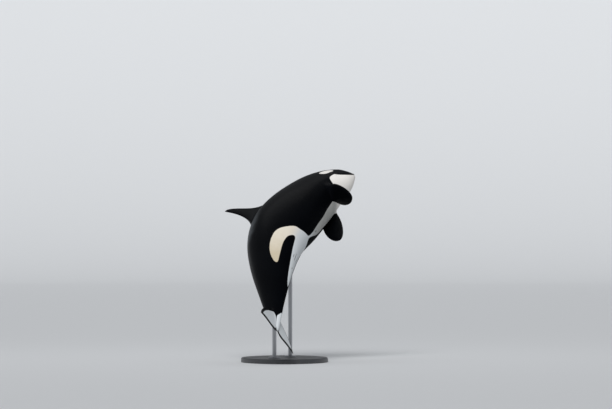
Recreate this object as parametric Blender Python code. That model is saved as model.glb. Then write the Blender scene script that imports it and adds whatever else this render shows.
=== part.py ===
"""A life-size display model of a leaping orca, bent towards its belly, on a plain two-rod stand.

Metres, +Z up. The origin is the middle of the stand's underside. The animal climbs towards +X, its tail
comes down towards -Y, and its right side and belly face -Y. A place on the animal is given by its station,
the fraction of the body's length behind the snout, and by the side and height beside the spine there.
"""

import bmesh
import bpy
import numpy as np
from mathutils import Matrix, Vector
from mathutils.bvhtree import BVHTree

# Driving dimensions, in metres
LENGTH = 6.0
GAP = 0.0003
SNOUT = (1.55, 1.70, 4.09)

# The pose: station, climb of the headward direction above level, its turn towards +Y, and the roll that
# turns the belly towards -Y, in degrees
POSE = (
    (0.00, 32.0, 10.0, 38.0),
    (0.12, 31.0, 27.5, 38.0),
    (0.26, 39.5, 48.5, 39.0),
    (0.40, 48.0, 51.5, 32.0),
    (0.54, 77.0, 51.5, 22.0),
    (0.68, 90.5, 50.0, 18.0),
    (0.82, 93.0, 46.0, 19.0),
    (1.00, 99.0, 41.0, 21.0),
)

# The body's sections: station, half width, height above the spine and depth below it as fractions of the
# length, and the power of the section's outline, where 2 is an ellipse
SECTIONS = (
    (0.000, 0.027, 0.023, 0.018, 2.10),
    (0.030, 0.040, 0.046, 0.032, 2.10),
    (0.060, 0.054, 0.064, 0.045, 2.10),
    (0.100, 0.070, 0.079, 0.060, 2.10),
    (0.150, 0.085, 0.089, 0.077, 2.10),
    (0.200, 0.095, 0.095, 0.091, 2.10),
    (0.270, 0.103, 0.102, 0.104, 2.10),
    (0.350, 0.107, 0.109, 0.113, 2.10),
    (0.430, 0.105, 0.111, 0.113, 2.10),
    (0.510, 0.097, 0.106, 0.106, 2.10),
    (0.590, 0.084, 0.096, 0.094, 2.05),
    (0.670, 0.067, 0.083, 0.078, 2.00),
    (0.750, 0.049, 0.067, 0.062, 1.90),
    (0.820, 0.034, 0.052, 0.047, 1.80),
    (0.880, 0.024, 0.039, 0.034, 1.75),
    (0.930, 0.018, 0.026, 0.022, 1.80),
    (0.965, 0.014, 0.014, 0.012, 1.90),
    (0.985, 0.009, 0.007, 0.006, 2.00),
)
SNOUT_ROUNDING = 0.045
TAIL_END = 0.985

# Where the flesh is parted: name, first and last station, number of lengths that its mesh is built from
FLESH = (
    ("chest", 0.132, 0.290, 8),
    ("torso", 0.290, 0.460, 8),
    ("abdomen", 0.460, 0.620, 8),
    ("tail_stock_front", 0.620, 0.790, 7),
    ("tail_stock_rear", 0.790, TAIL_END, 9),
)
HEAD_CUTTER_STATIONS = (0.02, 0.05, 0.09, 0.12)
COLUMNS = 44

# The head: its rear end, the corner of the mouth, the mouth's place round the section at the front and at
# the corner in degrees from the back, and the crease and lips along it
HEAD_END = 0.132
MOUTH_CORNER = 0.080
MOUTH_FRONT_ANGLE = 112.0
MOUTH_CORNER_ANGLE = 87.0
CREASE_DEPTH = 0.010
CREASE_WIDTH = 0.010
LIP_HEIGHT = 0.005
LIP_OFFSET = 0.022
UPPER_COLUMNS = 13
LOWER_COLUMNS = 9
# The stretches over which the crease starts behind the snout's end and stops before the mouth's corner, the
# least half width that angles are reckoned with, and the rows of the mesh before and behind the corner
CREASE_START = 0.010
CREASE_STOP = 0.006
LEAST_HALF_WIDTH = 0.02
MOUTH_ROWS = 14
CHEEK_ROWS = 6

# The eyes, lids and blowhole
EYE_STATION = 0.092
EYE_ANGLE = 81.5
EYE_RADIUS = 0.034
EYE_DEPTH = 0.027
LID_LENGTH = 0.062
LID_HEIGHT = 0.042
LID_PROUD = 0.014
LID_SEGMENTS = (24, 14)
EYE_OPENING = (0.028, 0.0135)
BLOWHOLE_STATION = 0.104
BLOWHOLE_RADIUS = 0.045
BLOWHOLE_WIDTH = 0.011
BLOWHOLE_DEPTH = 0.030
# How far round in degrees the blowhole's horns reach, how much it narrows there, and its outline's steps
BLOWHOLE_HORN = 75.0
BLOWHOLE_TAPER = 0.95
BLOWHOLE_STEPS = 13
SLIT_STEPS = 11

# Each fin's leading and trailing edge: four control points, each tailward and outward of the root's middle
DORSAL_STATION = 0.405
DORSAL_SUNK = 0.12
DORSAL_LEAD = ((-0.412, 0.0), (-0.031, 0.941), (0.071, 0.861), (0.146, 0.868))
DORSAL_TRAIL = ((0.485, 0.0), (-0.051, 0.369), (0.196, 0.873), (0.146, 0.868))
DORSAL_HALF_THICKNESS = 0.042
DORSAL_FLARE = 0.05

FLIPPER_STATION = 0.166
FLIPPER_ANGLE = 135.0
FLIPPER_LEAD = ((-0.163, -0.12), (-0.225, 0.178), (-0.17, 0.933), (0.018, 0.962))
FLIPPER_TRAIL = ((0.149, -0.12), (0.369, 0.312), (0.219, 0.993), (0.018, 0.962))
FLIPPER_HALF_THICKNESS = 0.040
FLIPPER_FLARE = 0.03
# Sweep towards the tail, drop below the side, and pitch about the span, in degrees
RIGHT_FLIPPER_SET = (15.2, 61.4, -72.3)
LEFT_FLIPPER_SET = (34.2, 99.4, -15.3)

FLUKE_STATION = 0.955
FLUKE_LEAD = ((-0.36, 0.0), (-0.22, 0.34), (0.02, 0.72), (0.28, 0.80))
FLUKE_TRAIL = ((0.20, 0.0), (0.36, 0.12), (0.20, 0.45), (0.28, 0.80))
FLUKE_HALF_THICKNESS = 0.034
FLUKE_FLARE = 0.035

# A fin's mesh, the share of its thickness lost by the tip, the share of its widest chord below which it
# thins, and the span and lengthwise spread of its flare at the root
FIN_ROWS = 16
FIN_COLUMNS = 20
FIN_THINNING = 0.35
FULL_CHORD = 0.6
FLARE_END = 0.22
FLARE_SPREAD = 1.2

# The stand
BASE_HALF_WIDTH = 0.95
BASE_HALF_LENGTH = 1.40
BASE_THICKNESS = 0.10
BASE_BEVEL = 0.02
ROD_RADIUS = 0.045
PAD_RADIUS = 0.10
PAD_HEIGHT = 0.12
FOOT_RADIUS = 0.13
FOOT_HEIGHT = 0.03
FOOT_BEVEL = 0.008
ROD_SEGMENTS = 32
BASE_SEGMENTS = 96
ROD_STATIONS = (("front", 0.37), ("rear", 0.57))

SPINE_STEPS = 600


def clear_scene():
    for item in list(bpy.data.objects):
        bpy.data.objects.remove(item, do_unlink=True)


def curve_through(rows, column, at):
    """The natural cubic spline through a table's first column and the given one, read at these places."""
    table = np.array(rows)
    x, y = table[:, 0], table[:, column]
    step = np.diff(x)
    last = len(x) - 1
    system = np.zeros((last + 1, last + 1))
    wanted = np.zeros(last + 1)
    system[0, 0] = system[last, last] = 1
    for i in range(1, last):
        system[i, i - 1 : i + 2] = step[i - 1], 2 * (step[i - 1] + step[i]), step[i]
        wanted[i] = 6 * ((y[i + 1] - y[i]) / step[i] - (y[i] - y[i - 1]) / step[i - 1])
    bend = np.linalg.solve(system, wanted)
    at = np.clip(np.asarray(at, float), x[0], x[-1])
    i = np.clip(np.searchsorted(x, at) - 1, 0, last - 1)
    past, left = at - x[i], x[i + 1] - at
    cubic = (bend[i] * left**3 + bend[i + 1] * past**3) / (6 * step[i])
    start = (y[i] / step[i] - bend[i] * step[i] / 6) * left
    end = (y[i + 1] / step[i] - bend[i + 1] * step[i] / 6) * past
    return cubic + start + end


def make_spine():
    """Stations along the spine, and at each the spine's point and its headward, dorsal and right axes."""
    station = np.linspace(-0.05, 1.05, SPINE_STEPS + 1)
    climb, turn, roll = (np.radians(curve_through(POSE, column, station)) for column in (1, 2, 3))
    level = np.cos(turn)
    headward = np.stack([level * np.cos(climb), np.sin(turn), level * np.sin(climb)], -1)
    lift = np.stack([-np.sin(climb), 0 * climb, np.cos(climb)], -1)
    near = np.cross(headward, lift)
    dorsal = np.cos(roll)[:, None] * lift - np.sin(roll)[:, None] * near
    right = np.cos(roll)[:, None] * near + np.sin(roll)[:, None] * lift
    middle = (headward[1:] + headward[:-1]) / 2
    travel = np.cumsum(middle * np.diff(station)[:, None] * LENGTH, axis=0)
    point = -np.concatenate([np.zeros((1, 3)), travel])
    snout = read_at(station, point, 0.0)
    return station, point - snout + np.array(SNOUT), headward, dorsal, right


def read_at(station, field, at):
    return np.stack([np.interp(at, station, field[:, axis]) for axis in range(3)], -1)


SPINE = make_spine()


def frame_at(at):
    """The spine's point and its headward, dorsal and right axes at a station."""
    return [read_at(SPINE[0], field, at) for field in SPINE[1:]]


def place(at, side, up):
    point, _, dorsal, right = frame_at(at)
    return point + np.asarray(side)[..., None] * right + np.asarray(up)[..., None] * dorsal


def section_at(at, grow=0.0):
    """The section's half width, height, depth and power; at the snout they close as a quarter circle."""
    width, height, depth, power = (curve_through(SECTIONS, column, at) for column in (1, 2, 3, 4))
    front = np.clip(at, 0, SNOUT_ROUNDING) / SNOUT_ROUNDING
    closing = np.sqrt(np.clip(1 - (1 - front) ** 2, 0, 1)) * LENGTH
    return width * closing + grow, height * closing + grow, depth * closing + grow, power


def outline_at(at, angle, grow=0.0):
    """Side and height of the skin at an angle from the back, positive to the right."""
    width, height, depth, power = section_at(at, grow)
    sine, cosine = np.sin(angle), np.cos(angle)
    side = width * np.sign(sine) * np.abs(sine) ** (2 / power)
    reach = np.where(cosine >= 0, height, depth)
    return side, reach * np.sign(cosine) * np.abs(cosine) ** (2 / power)


def outward_at(at, angle):
    """A point of the skin with its headward direction and its outward normal."""
    step = 0.002
    point = place(at, *outline_at(at, angle))
    along = place(at - step, *outline_at(at - step, angle)) - place(at + step, *outline_at(at + step, angle))
    across = place(at, *outline_at(at, angle + step)) - place(at, *outline_at(at, angle - step))
    normal = np.cross(along, across)
    normal /= np.linalg.norm(normal)
    if normal @ (point - frame_at(at)[0]) < 0:
        normal = -normal
    return point, along / np.linalg.norm(along), normal


def material(name, colour, roughness, metallic=0.0):
    finish = bpy.data.materials.new(name)
    finish.use_nodes = True
    shader = finish.node_tree.nodes["Principled BSDF"]
    shader.inputs["Base Color"].default_value = (*colour, 1)
    shader.inputs["Roughness"].default_value = roughness
    shader.inputs["Metallic"].default_value = metallic
    return finish


def make_object(name, points, faces):
    mesh = bpy.data.meshes.new(name)
    mesh.from_pydata([tuple(point) for point in np.asarray(points, float)], [], faces)
    work = bmesh.new()
    work.from_mesh(mesh)
    bmesh.ops.recalc_face_normals(work, faces=work.faces)
    if work.calc_volume(signed=True) < 0:
        bmesh.ops.reverse_faces(work, faces=work.faces)
    work.to_mesh(mesh)
    work.free()
    piece = bpy.data.objects.new(name, mesh)
    bpy.context.scene.collection.objects.link(piece)
    return piece


def finish_node(piece, finish, sharp_angle=0.7):
    piece.data.materials.clear()
    piece.data.materials.append(finish)
    piece.data.shade_smooth()
    piece.data.set_sharp_from_angle(angle=sharp_angle)
    return piece


def combine(piece, other, operation, keep_other=False):
    """Applies one Boolean to a piece, and keeps its largest closed surface."""
    boolean = piece.modifiers.new("shape", "BOOLEAN")
    boolean.operation = operation
    boolean.object = other
    graph = bpy.context.evaluated_depsgraph_get()
    shaped = bpy.data.meshes.new_from_object(piece.evaluated_get(graph))
    piece.modifiers.clear()
    piece.data = shaped
    if not keep_other:
        bpy.data.objects.remove(other, do_unlink=True)
    keep_largest(piece)


def keep_largest(piece):
    work = bmesh.new()
    work.from_mesh(piece.data)
    left = set(work.faces)
    shells = []
    while left:
        shell = {left.pop()}
        edge_of_shell = list(shell)
        while edge_of_shell:
            face = edge_of_shell.pop()
            found = {other for edge in face.edges for other in edge.link_faces} & left
            left -= found
            shell |= found
            edge_of_shell.extend(found)
        shells.append(shell)
    largest = max(shells, key=lambda shell: sum(face.calc_area() for face in shell))
    scraps = [face for shell in shells if shell is not largest for face in shell]
    bmesh.ops.delete(work, geom=scraps, context="FACES")
    work.to_mesh(piece.data)
    work.free()


def strip(first, second, closed=True):
    """Triangles between two rows of point numbers, all split the same way."""
    count = len(first) if closed else len(first) - 1
    faces = []
    for j in range(count):
        k = (j + 1) % len(first)
        faces.append((first[j], second[j], second[k]))
        faces.append((first[j], second[k], first[k]))
    return faces


def loft(name, stations, grow=0.0):
    """A length of the body: rings of points at these stations, closed by a flat face at each end."""
    angle = np.linspace(0, 2 * np.pi, COLUMNS, endpoint=False)
    rings = [place(np.full(COLUMNS, at), *outline_at(at, angle, grow)) for at in stations]
    rows = [list(range(i * COLUMNS, (i + 1) * COLUMNS)) for i in range(len(stations))]
    faces = [face for first, second in zip(rows, rows[1:]) for face in strip(first, second)]
    faces += [tuple(rows[0]), tuple(rows[-1])]
    return make_object(name, np.concatenate(rings), faces)


def length_stations(first, last, count):
    """Stations from one parting cut to the next, half a gap short at each."""
    half_gap = GAP / 2 / LENGTH
    return list(np.linspace(first + half_gap, last - half_gap, count + 1))


def body_stations():
    """Every ring of the parted lengths, so that a cutter's facets run parallel to theirs."""
    stations = list(HEAD_CUTTER_STATIONS)
    for _, first, last, count in FLESH:
        stations += length_stations(first, last, count)
    return [*stations, TAIL_END + GAP / 2 / LENGTH]


def make_flesh(skin):
    for name, first, last, count in FLESH:
        finish_node(loft(name, length_stations(first, last, count)), skin)


def mouth_angle(at):
    """The mouth's place round the section, which rises towards its corner."""
    along = np.clip(at / MOUTH_CORNER, 0, 1)
    return np.radians(MOUTH_FRONT_ANGLE + (MOUTH_CORNER_ANGLE - MOUTH_FRONT_ANGLE) * along)


def head_ring(at):
    """The right side's points from back to belly: even steps, and close ones at the lips and the crease."""
    angle_at_mouth = mouth_angle(at)
    half_width = max(section_at(at)[0], LEAST_HALF_WIDTH)
    narrow = [LIP_OFFSET * 2 / half_width, LIP_OFFSET / half_width, CREASE_WIDTH / half_width]
    narrow = [min(offset, most) for offset, most in zip(narrow, (1 / 2, 1 / 4, 1 / 6))]
    upper = list(np.linspace(0, angle_at_mouth - narrow[0], UPPER_COLUMNS))
    lower = list(np.linspace(angle_at_mouth + narrow[0], np.pi, LOWER_COLUMNS))
    near = [angle_at_mouth - narrow[1], angle_at_mouth - narrow[2], angle_at_mouth]
    far = [angle_at_mouth + narrow[2], angle_at_mouth + narrow[1]]
    angle = np.array(upper + near + far + lower)
    side, up = outline_at(at, angle)
    distance = (angle - angle_at_mouth) * half_width
    open_mouth = np.clip((MOUTH_CORNER - at) / CREASE_STOP, 0, 1) * np.clip(at / CREASE_START, 0, 1)
    crease = -CREASE_DEPTH * np.exp(-((distance / CREASE_WIDTH) ** 2))
    lips = LIP_HEIGHT * np.exp(-(((np.abs(distance) - LIP_OFFSET) / CREASE_WIDTH) ** 2))
    move = (crease + lips) * open_mouth
    reach = np.hypot(side, up) + 1e-9
    return side * (1 + move / reach), up * (1 + move / reach), len(upper) + 2


def head_stations():
    """Stations that crowd at the round snout, with one at the mouth's corner."""
    front = MOUTH_CORNER * (1 - np.cos(np.linspace(0, np.pi / 2, MOUTH_ROWS + 1)))[1:]
    return list(front) + list(np.linspace(MOUTH_CORNER, HEAD_END - GAP / 2 / LENGTH, CHEEK_ROWS + 1)[1:])


def whole_ring(at):
    """A closed ring of the head, from the back round the right side, and the mouth's two places in it."""
    side, up, mouth = head_ring(at)
    side = np.concatenate([side, -side[-2:0:-1]])
    up = np.concatenate([up, up[-2:0:-1]])
    return place(np.full(len(side), at), side, up), mouth


def make_head(skin):
    """The head behind and above the mouth: full rings behind its corner, and upper arcs in front of it."""
    stations = head_stations()
    points = [frame_at(0.0)[0]]
    rows = []
    for at in stations:
        ring, mouth = whole_ring(at)
        rows.append(list(range(len(points), len(points) + len(ring))))
        points.extend(ring)
    count = len(rows[0])
    upper = list(range(count - mouth, count)) + list(range(mouth + 1))
    lower = list(range(mouth, count - mouth + 1))
    faces = []
    arcs = [[row[j] for j in upper] for row in rows]
    corner = int(np.argmin([abs(at - MOUTH_CORNER) for at in stations]))
    for i in range(corner):
        faces += strip(arcs[i], arcs[i + 1], closed=False)
        faces += strip([arcs[i][-1], arcs[i][0]], [arcs[i + 1][-1], arcs[i + 1][0]], closed=False)
    faces += [(0, a, b) for a, b in zip(arcs[0], arcs[0][1:])]
    faces.append((0, arcs[0][-1], arcs[0][0]))
    faces.append(tuple(rows[corner][j] for j in lower))
    for first, second in zip(rows[corner:], rows[corner + 1 :]):
        faces += strip(first, second)
    faces.append(tuple(rows[-1]))
    used = sorted({number for face in faces for number in face})
    number_of = {old: new for new, old in enumerate(used)}
    faces = [tuple(number_of[number] for number in face) for face in faces]
    head = make_object("head", np.array(points)[used], faces)
    for sign in (1, -1):
        add_lids(head, sign)
    cut_blowhole(head)
    return finish_node(head, skin)


def make_lower_jaw(skin):
    """The jaw below the mouth: lower arcs closed by a flat top, a gap under the head and at its corner."""
    stations = [at for at in head_stations() if at < MOUTH_CORNER - 1e-6]
    stations.append(MOUTH_CORNER - GAP / LENGTH)
    points = []
    rows = []
    for at in stations[1:]:
        ring, mouth = whole_ring(at)
        arc = ring[mouth : len(ring) - mouth + 1] - frame_at(at)[2] * GAP
        rows.append(list(range(len(points), len(points) + len(arc))))
        points.extend(arc)
    faces = [tuple(rows[0]), tuple(rows[-1])]
    for first, second in zip(rows, rows[1:]):
        faces += strip(first, second, closed=False)
        faces += strip([first[0], first[-1]], [second[0], second[-1]], closed=False)
    return finish_node(make_object("lower_jaw", points, faces), skin)


def eye_frame(sign):
    """The eye's place on the skin as a matrix: X headward, Z outward."""
    point, headward, normal = outward_at(EYE_STATION, np.radians(EYE_ANGLE) * sign)
    upward = np.cross(normal, headward)
    axes = np.stack([headward, upward, normal, point], -1)
    return Matrix([*axes.tolist(), [0, 0, 0, 1]])


def ball(name, centre, radii, turn, segments=20, rings=12):
    """A closed round body with half a segment between its frame's X axis and its nearest meridian."""
    mesh = bpy.data.meshes.new(name)
    work = bmesh.new()
    bmesh.ops.create_uvsphere(work, u_segments=segments, v_segments=rings, radius=1)
    half_segment = Matrix.Rotation(np.pi / segments, 4, "Z")
    matrix = turn @ Matrix.Translation(centre) @ Matrix.Diagonal((*radii, 1)) @ half_segment
    bmesh.ops.transform(work, matrix=matrix, verts=work.verts)
    bmesh.ops.recalc_face_normals(work, faces=work.faces)
    work.to_mesh(mesh)
    work.free()
    piece = bpy.data.objects.new(name, mesh)
    bpy.context.scene.collection.objects.link(piece)
    return piece


def prism(name, outline, low, high, turn):
    """A flat outline carried from one height to another along the frame's Z axis."""
    count = len(outline)
    points = [turn @ Vector((x, y, z)) for z in (low, high) for x, y in outline]
    faces = [tuple(range(count)), tuple(range(count, 2 * count))]
    faces += [(j, (j + 1) % count, count + (j + 1) % count, count + j) for j in range(count)]
    return make_object(name, points, faces)


def add_lids(head, sign):
    """A low mound of lids round a ball socket, opened by an almond-shaped slit."""
    turn = eye_frame(sign)
    mound = ball("lid_mound", (0, 0, 0), (LID_LENGTH, LID_HEIGHT, LID_PROUD), turn, *LID_SEGMENTS)
    combine(head, mound, "UNION")
    half_length, half_height = EYE_OPENING
    along = np.linspace(-1, 1, SLIT_STEPS)
    upper = [(half_length * x, half_height * (1 - x * x)) for x in along]
    lower = [(half_length * x, -half_height * (1 - x * x)) for x in along[-2:0:-1]]
    slit = prism("slit", upper + lower, -EYE_DEPTH / 2, 3 * LID_PROUD, turn)
    combine(head, slit, "DIFFERENCE")
    radius = EYE_RADIUS + GAP
    socket = ball("socket", (0, 0, -EYE_DEPTH), (radius, radius, radius), turn)
    combine(head, socket, "DIFFERENCE")


def make_eyes(finish):
    for sign, side in ((1, "right"), (-1, "left")):
        radii = (EYE_RADIUS, EYE_RADIUS, EYE_RADIUS)
        eye = ball("eye_" + side, (0, 0, -EYE_DEPTH), radii, eye_frame(sign))
        finish_node(eye, finish)


def cut_blowhole(head):
    """A crescent slit on the crown, its horns pointing at the snout."""
    point, headward, normal = outward_at(BLOWHOLE_STATION, 0.0)
    leftward = np.cross(normal, headward)
    axes = np.stack([headward, leftward, normal, point], -1)
    turn = Matrix([*axes.tolist(), [0, 0, 0, 1]])
    share = np.linspace(-1, 1, BLOWHOLE_STEPS)
    sweep = np.radians(BLOWHOLE_HORN) * share
    half = BLOWHOLE_WIDTH / 2 * np.sqrt(1 - BLOWHOLE_TAPER * share**2)
    edges = []
    for radius in (BLOWHOLE_RADIUS + half, BLOWHOLE_RADIUS - half):
        edges.append(list(zip(-radius * np.cos(sweep), radius * np.sin(sweep))))
    slit = prism("blowhole", edges[0] + edges[1][::-1], -BLOWHOLE_DEPTH, BLOWHOLE_DEPTH, turn)
    combine(head, slit, "DIFFERENCE")


def bezier(points, t):
    start, first, second, end = (np.array(point) for point in points)
    t = np.asarray(t)[..., None]
    return (1 - t) ** 3 * start + 3 * t * (1 - t) ** 2 * first + 3 * t**2 * (1 - t) * second + t**3 * end


def foil(along):
    """A streamlined section's half thickness from its leading to its trailing edge, 1 at its thickest."""
    return 10 * (
        0.2969 * np.sqrt(along)
        - 0.1260 * along
        - 0.3516 * along**2
        + 0.2843 * along**3
        - 0.1036 * along**4
    )


def fin(name, lead, trail, half_thickness, flare, origin, tailward, outward, across):
    """A blade between two edge curves: streamlined sections that thin to the tip and flare at the root."""
    span = 1 - (1 - np.linspace(0, 1, FIN_ROWS + 1)[:-1]) ** 1.5
    angle = np.linspace(0, 2 * np.pi, FIN_COLUMNS, endpoint=False)
    span, angle = np.meshgrid(span, angle, indexing="ij")
    along = (1 - np.cos(angle)) / 2
    front, back = bezier(lead, span), bezier(trail, span)
    root = np.clip(1 - span / FLARE_END, 0, 1) ** 2
    edge = front + (back - front) * along[..., None]
    edge[..., 0] -= FLARE_SPREAD * flare * root * np.cos(angle)
    chord = np.linalg.norm(back - front, axis=-1)
    closing = 1 - (1 - np.clip(chord / (FULL_CHORD * chord.max()), 0, 1)) ** 2
    thick = (half_thickness * (1 - FIN_THINNING * span) + flare * root) * closing
    lift = thick * np.sign(np.sin(angle)) * foil(along)
    lift[:, [0, FIN_COLUMNS // 2]] = 0
    points = (
        np.asarray(origin)
        + edge[..., :1] * tailward
        + edge[..., 1:] * outward
        + lift[..., None] * across
    )
    tip_edge = bezier(lead, 1.0)
    tip = origin + tip_edge[0] * tailward + tip_edge[1] * outward
    rows = [list(range(i * FIN_COLUMNS, (i + 1) * FIN_COLUMNS)) for i in range(FIN_ROWS)]
    faces = []
    half = FIN_COLUMNS // 2
    for first, second in zip(rows, rows[1:]):
        faces += strip(first[: half + 1], second[: half + 1], closed=False)
        other = [first[0], *first[:half:-1], first[half]], [second[0], *second[:half:-1], second[half]]
        faces += strip(*other, closed=False)
    last = FIN_ROWS * FIN_COLUMNS
    faces += [(rows[-1][j], rows[-1][(j + 1) % FIN_COLUMNS], last) for j in range(FIN_COLUMNS)]
    faces.append(tuple(rows[0]))
    return make_object(name, [*points.reshape(-1, 3), tip], faces)


def make_dorsal_fin(skin, body):
    point, headward, dorsal, right = frame_at(DORSAL_STATION)
    origin = point + dorsal * (section_at(DORSAL_STATION)[1] - DORSAL_SUNK)
    piece = fin(
        "dorsal_fin",
        DORSAL_LEAD,
        DORSAL_TRAIL,
        DORSAL_HALF_THICKNESS,
        DORSAL_FLARE,
        origin,
        -headward,
        dorsal,
        right,
    )
    combine(piece, body, "DIFFERENCE", keep_other=True)
    finish_node(piece, skin)


def make_flipper(name, sign, setting, skin, body):
    """A paddle rooted low on the chest, swept, dropped and pitched by its three angles."""
    sweep, drop, pitch = np.radians(setting)
    point, headward, dorsal, right = frame_at(FLIPPER_STATION)
    side, up = outline_at(FLIPPER_STATION, np.radians(FLIPPER_ANGLE))
    right = right * sign
    origin = point + side * right + up * dorsal
    out = np.cos(drop) * right - np.sin(drop) * dorsal
    span = np.cos(sweep) * out - np.sin(sweep) * headward
    level = -np.sin(sweep) * out - np.cos(sweep) * headward
    normal = np.cross(level, span)
    if normal @ dorsal < 0:
        normal = -normal
    tailward = np.cos(pitch) * level + np.sin(pitch) * normal
    across = np.cos(pitch) * normal - np.sin(pitch) * level
    piece = fin(
        name,
        FLIPPER_LEAD,
        FLIPPER_TRAIL,
        FLIPPER_HALF_THICKNESS,
        FLIPPER_FLARE,
        origin,
        tailward,
        span,
        across,
    )
    combine(piece, body, "DIFFERENCE", keep_other=True)
    finish_node(piece, skin)


def make_fluke(name, sign, skin, body):
    point, headward, dorsal, right = frame_at(FLUKE_STATION)
    origin = point + right * sign * GAP / 2
    piece = fin(
        name,
        FLUKE_LEAD,
        FLUKE_TRAIL,
        FLUKE_HALF_THICKNESS,
        FLUKE_FLARE,
        origin,
        -headward,
        right * sign,
        dorsal,
    )
    combine(piece, body, "DIFFERENCE", keep_other=True)
    finish_node(piece, skin)


def disc(name, centre, radius, low, high, segments=40, stretch=1.0, bevel=0.0):
    """An upright cylinder, oval if stretched, its top edge bevelled."""
    angle = np.linspace(0, 2 * np.pi, segments, endpoint=False)
    steps = [(0.0, low), (0.0, high - bevel), (bevel, high)] if bevel else [(0.0, low), (0.0, high)]
    points = []
    for inset, z in steps:
        x = centre[0] + (radius - inset) * np.cos(angle)
        y = centre[1] + (radius * stretch - inset) * np.sin(angle)
        points += list(zip(x, y, np.full(segments, z)))
    rows = [list(range(i * segments, (i + 1) * segments)) for i in range(len(steps))]
    faces = [face for first, second in zip(rows, rows[1:]) for face in strip(first, second)]
    faces += [tuple(rows[0]), tuple(rows[-1])]
    return make_object(name, points, faces)


def underside_at(body, x, y):
    """The height at which a rod rising here meets the body."""
    work = bmesh.new()
    work.from_mesh(body.data)
    tree = BVHTree.FromBMesh(work)
    hit = tree.ray_cast(Vector((x, y, BASE_THICKNESS)), Vector((0, 0, 1)))[0]
    work.free()
    return hit.z


def make_stand(steel, wood, body):
    base = disc(
        "stand_base",
        (0, 0),
        BASE_HALF_WIDTH,
        0.0,
        BASE_THICKNESS,
        segments=BASE_SEGMENTS,
        stretch=BASE_HALF_LENGTH / BASE_HALF_WIDTH,
        bevel=BASE_BEVEL,
    )
    finish_node(base, wood, sharp_angle=0.5)
    foot_top = BASE_THICKNESS + GAP + FOOT_HEIGHT
    for name, station in ROD_STATIONS:
        centre = frame_at(station)[0][:2]
        foot_low = BASE_THICKNESS + GAP
        foot = disc("stand_foot_" + name, centre, FOOT_RADIUS, foot_low, foot_top, bevel=FOOT_BEVEL)
        finish_node(foot, steel)
        met = underside_at(body, *centre)
        pad = disc("stand_pad_" + name, centre, PAD_RADIUS, met - PAD_HEIGHT, met + 2 * PAD_HEIGHT)
        combine(pad, body, "DIFFERENCE", keep_other=True)
        finish_node(pad, steel)
        rod_top = met - PAD_HEIGHT - GAP
        rod = disc("stand_rod_" + name, centre, ROD_RADIUS, foot_top + GAP, rod_top, ROD_SEGMENTS)
        finish_node(rod, steel)


def main():
    clear_scene()
    black_skin = material("black_skin", (0.012, 0.014, 0.018), 0.32)
    white_skin = material("white_skin", (0.78, 0.77, 0.73), 0.38)
    eye_glass = material("eye_glass", (0.03, 0.016, 0.01), 0.05)
    steel = material("stand_steel", (0.42, 0.43, 0.45), 0.35, 1.0)
    wood = material("stand_base_paint", (0.05, 0.05, 0.055), 0.45)
    body = loft("body_cutter", body_stations(), GAP)
    make_head(black_skin)
    make_lower_jaw(white_skin)
    make_eyes(eye_glass)
    make_flesh(black_skin)
    make_dorsal_fin(black_skin, body)
    make_flipper("flipper_right", 1, RIGHT_FLIPPER_SET, black_skin, body)
    make_flipper("flipper_left", -1, LEFT_FLIPPER_SET, black_skin, body)
    make_fluke("fluke_right", 1, black_skin, body)
    make_fluke("fluke_left", -1, black_skin, body)
    make_stand(steel, wood, body)
    bpy.data.objects.remove(body, do_unlink=True)


main()
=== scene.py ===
"""A leaping orca as a life-size display model: its skin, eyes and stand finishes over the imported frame.

Metres, +Z up. The animal climbs towards +X, its tail comes down towards -Y, and its right side and belly
face -Y. A place on the skin is given by its station, the fraction of the body's length behind the snout, and
by its angle round the section: 0 at the back, half a turn at the belly, positive on the right side.
"""

from typing import NamedTuple

import bmesh
import bpy
import numpy as np
from bpy.props import FloatProperty, FloatVectorProperty, PointerProperty
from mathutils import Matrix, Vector


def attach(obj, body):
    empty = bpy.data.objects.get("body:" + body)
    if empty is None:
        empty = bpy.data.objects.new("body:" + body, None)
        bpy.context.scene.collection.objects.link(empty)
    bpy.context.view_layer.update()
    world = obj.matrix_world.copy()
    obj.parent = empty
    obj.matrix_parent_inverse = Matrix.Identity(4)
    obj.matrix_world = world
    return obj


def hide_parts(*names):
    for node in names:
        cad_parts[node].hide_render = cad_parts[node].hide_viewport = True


bl_info = {
    "name": "Leaping Orca Display Model",
    "version": (1, 0, 0),
    "blender": (4, 5, 0),
    "location": "View3D > Sidebar > Orca",
    "description": "Builds the skin, eyes, stand finishes and stage of a leaping orca display model",
    "category": "Object",
}

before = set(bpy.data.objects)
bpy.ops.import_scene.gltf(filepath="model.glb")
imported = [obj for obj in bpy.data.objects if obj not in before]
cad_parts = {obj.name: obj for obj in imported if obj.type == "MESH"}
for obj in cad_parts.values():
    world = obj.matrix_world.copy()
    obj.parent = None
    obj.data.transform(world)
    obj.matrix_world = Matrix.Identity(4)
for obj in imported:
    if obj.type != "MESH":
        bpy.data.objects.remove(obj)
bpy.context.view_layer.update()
FLESH_NODES = (
    "head", "lower_jaw", "chest", "torso", "abdomen", "tail_stock_front", "tail_stock_rear",
    "dorsal_fin", "flipper_right", "flipper_left", "fluke_right", "fluke_left",
)  # fmt: skip

LENGTH = 6.0
SNOUT = (1.55, 1.70, 4.09)

# The pose: station, climb of the headward direction above level, its turn towards +Y, and the roll that
# turns the belly towards -Y, in degrees
POSE = (
    (0.00, 32.0, 10.0, 38.0),
    (0.12, 31.0, 27.5, 38.0),
    (0.26, 39.5, 48.5, 39.0),
    (0.40, 48.0, 51.5, 32.0),
    (0.54, 77.0, 51.5, 22.0),
    (0.68, 90.5, 50.0, 18.0),
    (0.82, 93.0, 46.0, 19.0),
    (1.00, 99.0, 41.0, 21.0),
)
SPINE_REACH = (-0.05, 1.05)
SPINE_STEPS = 600

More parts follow.
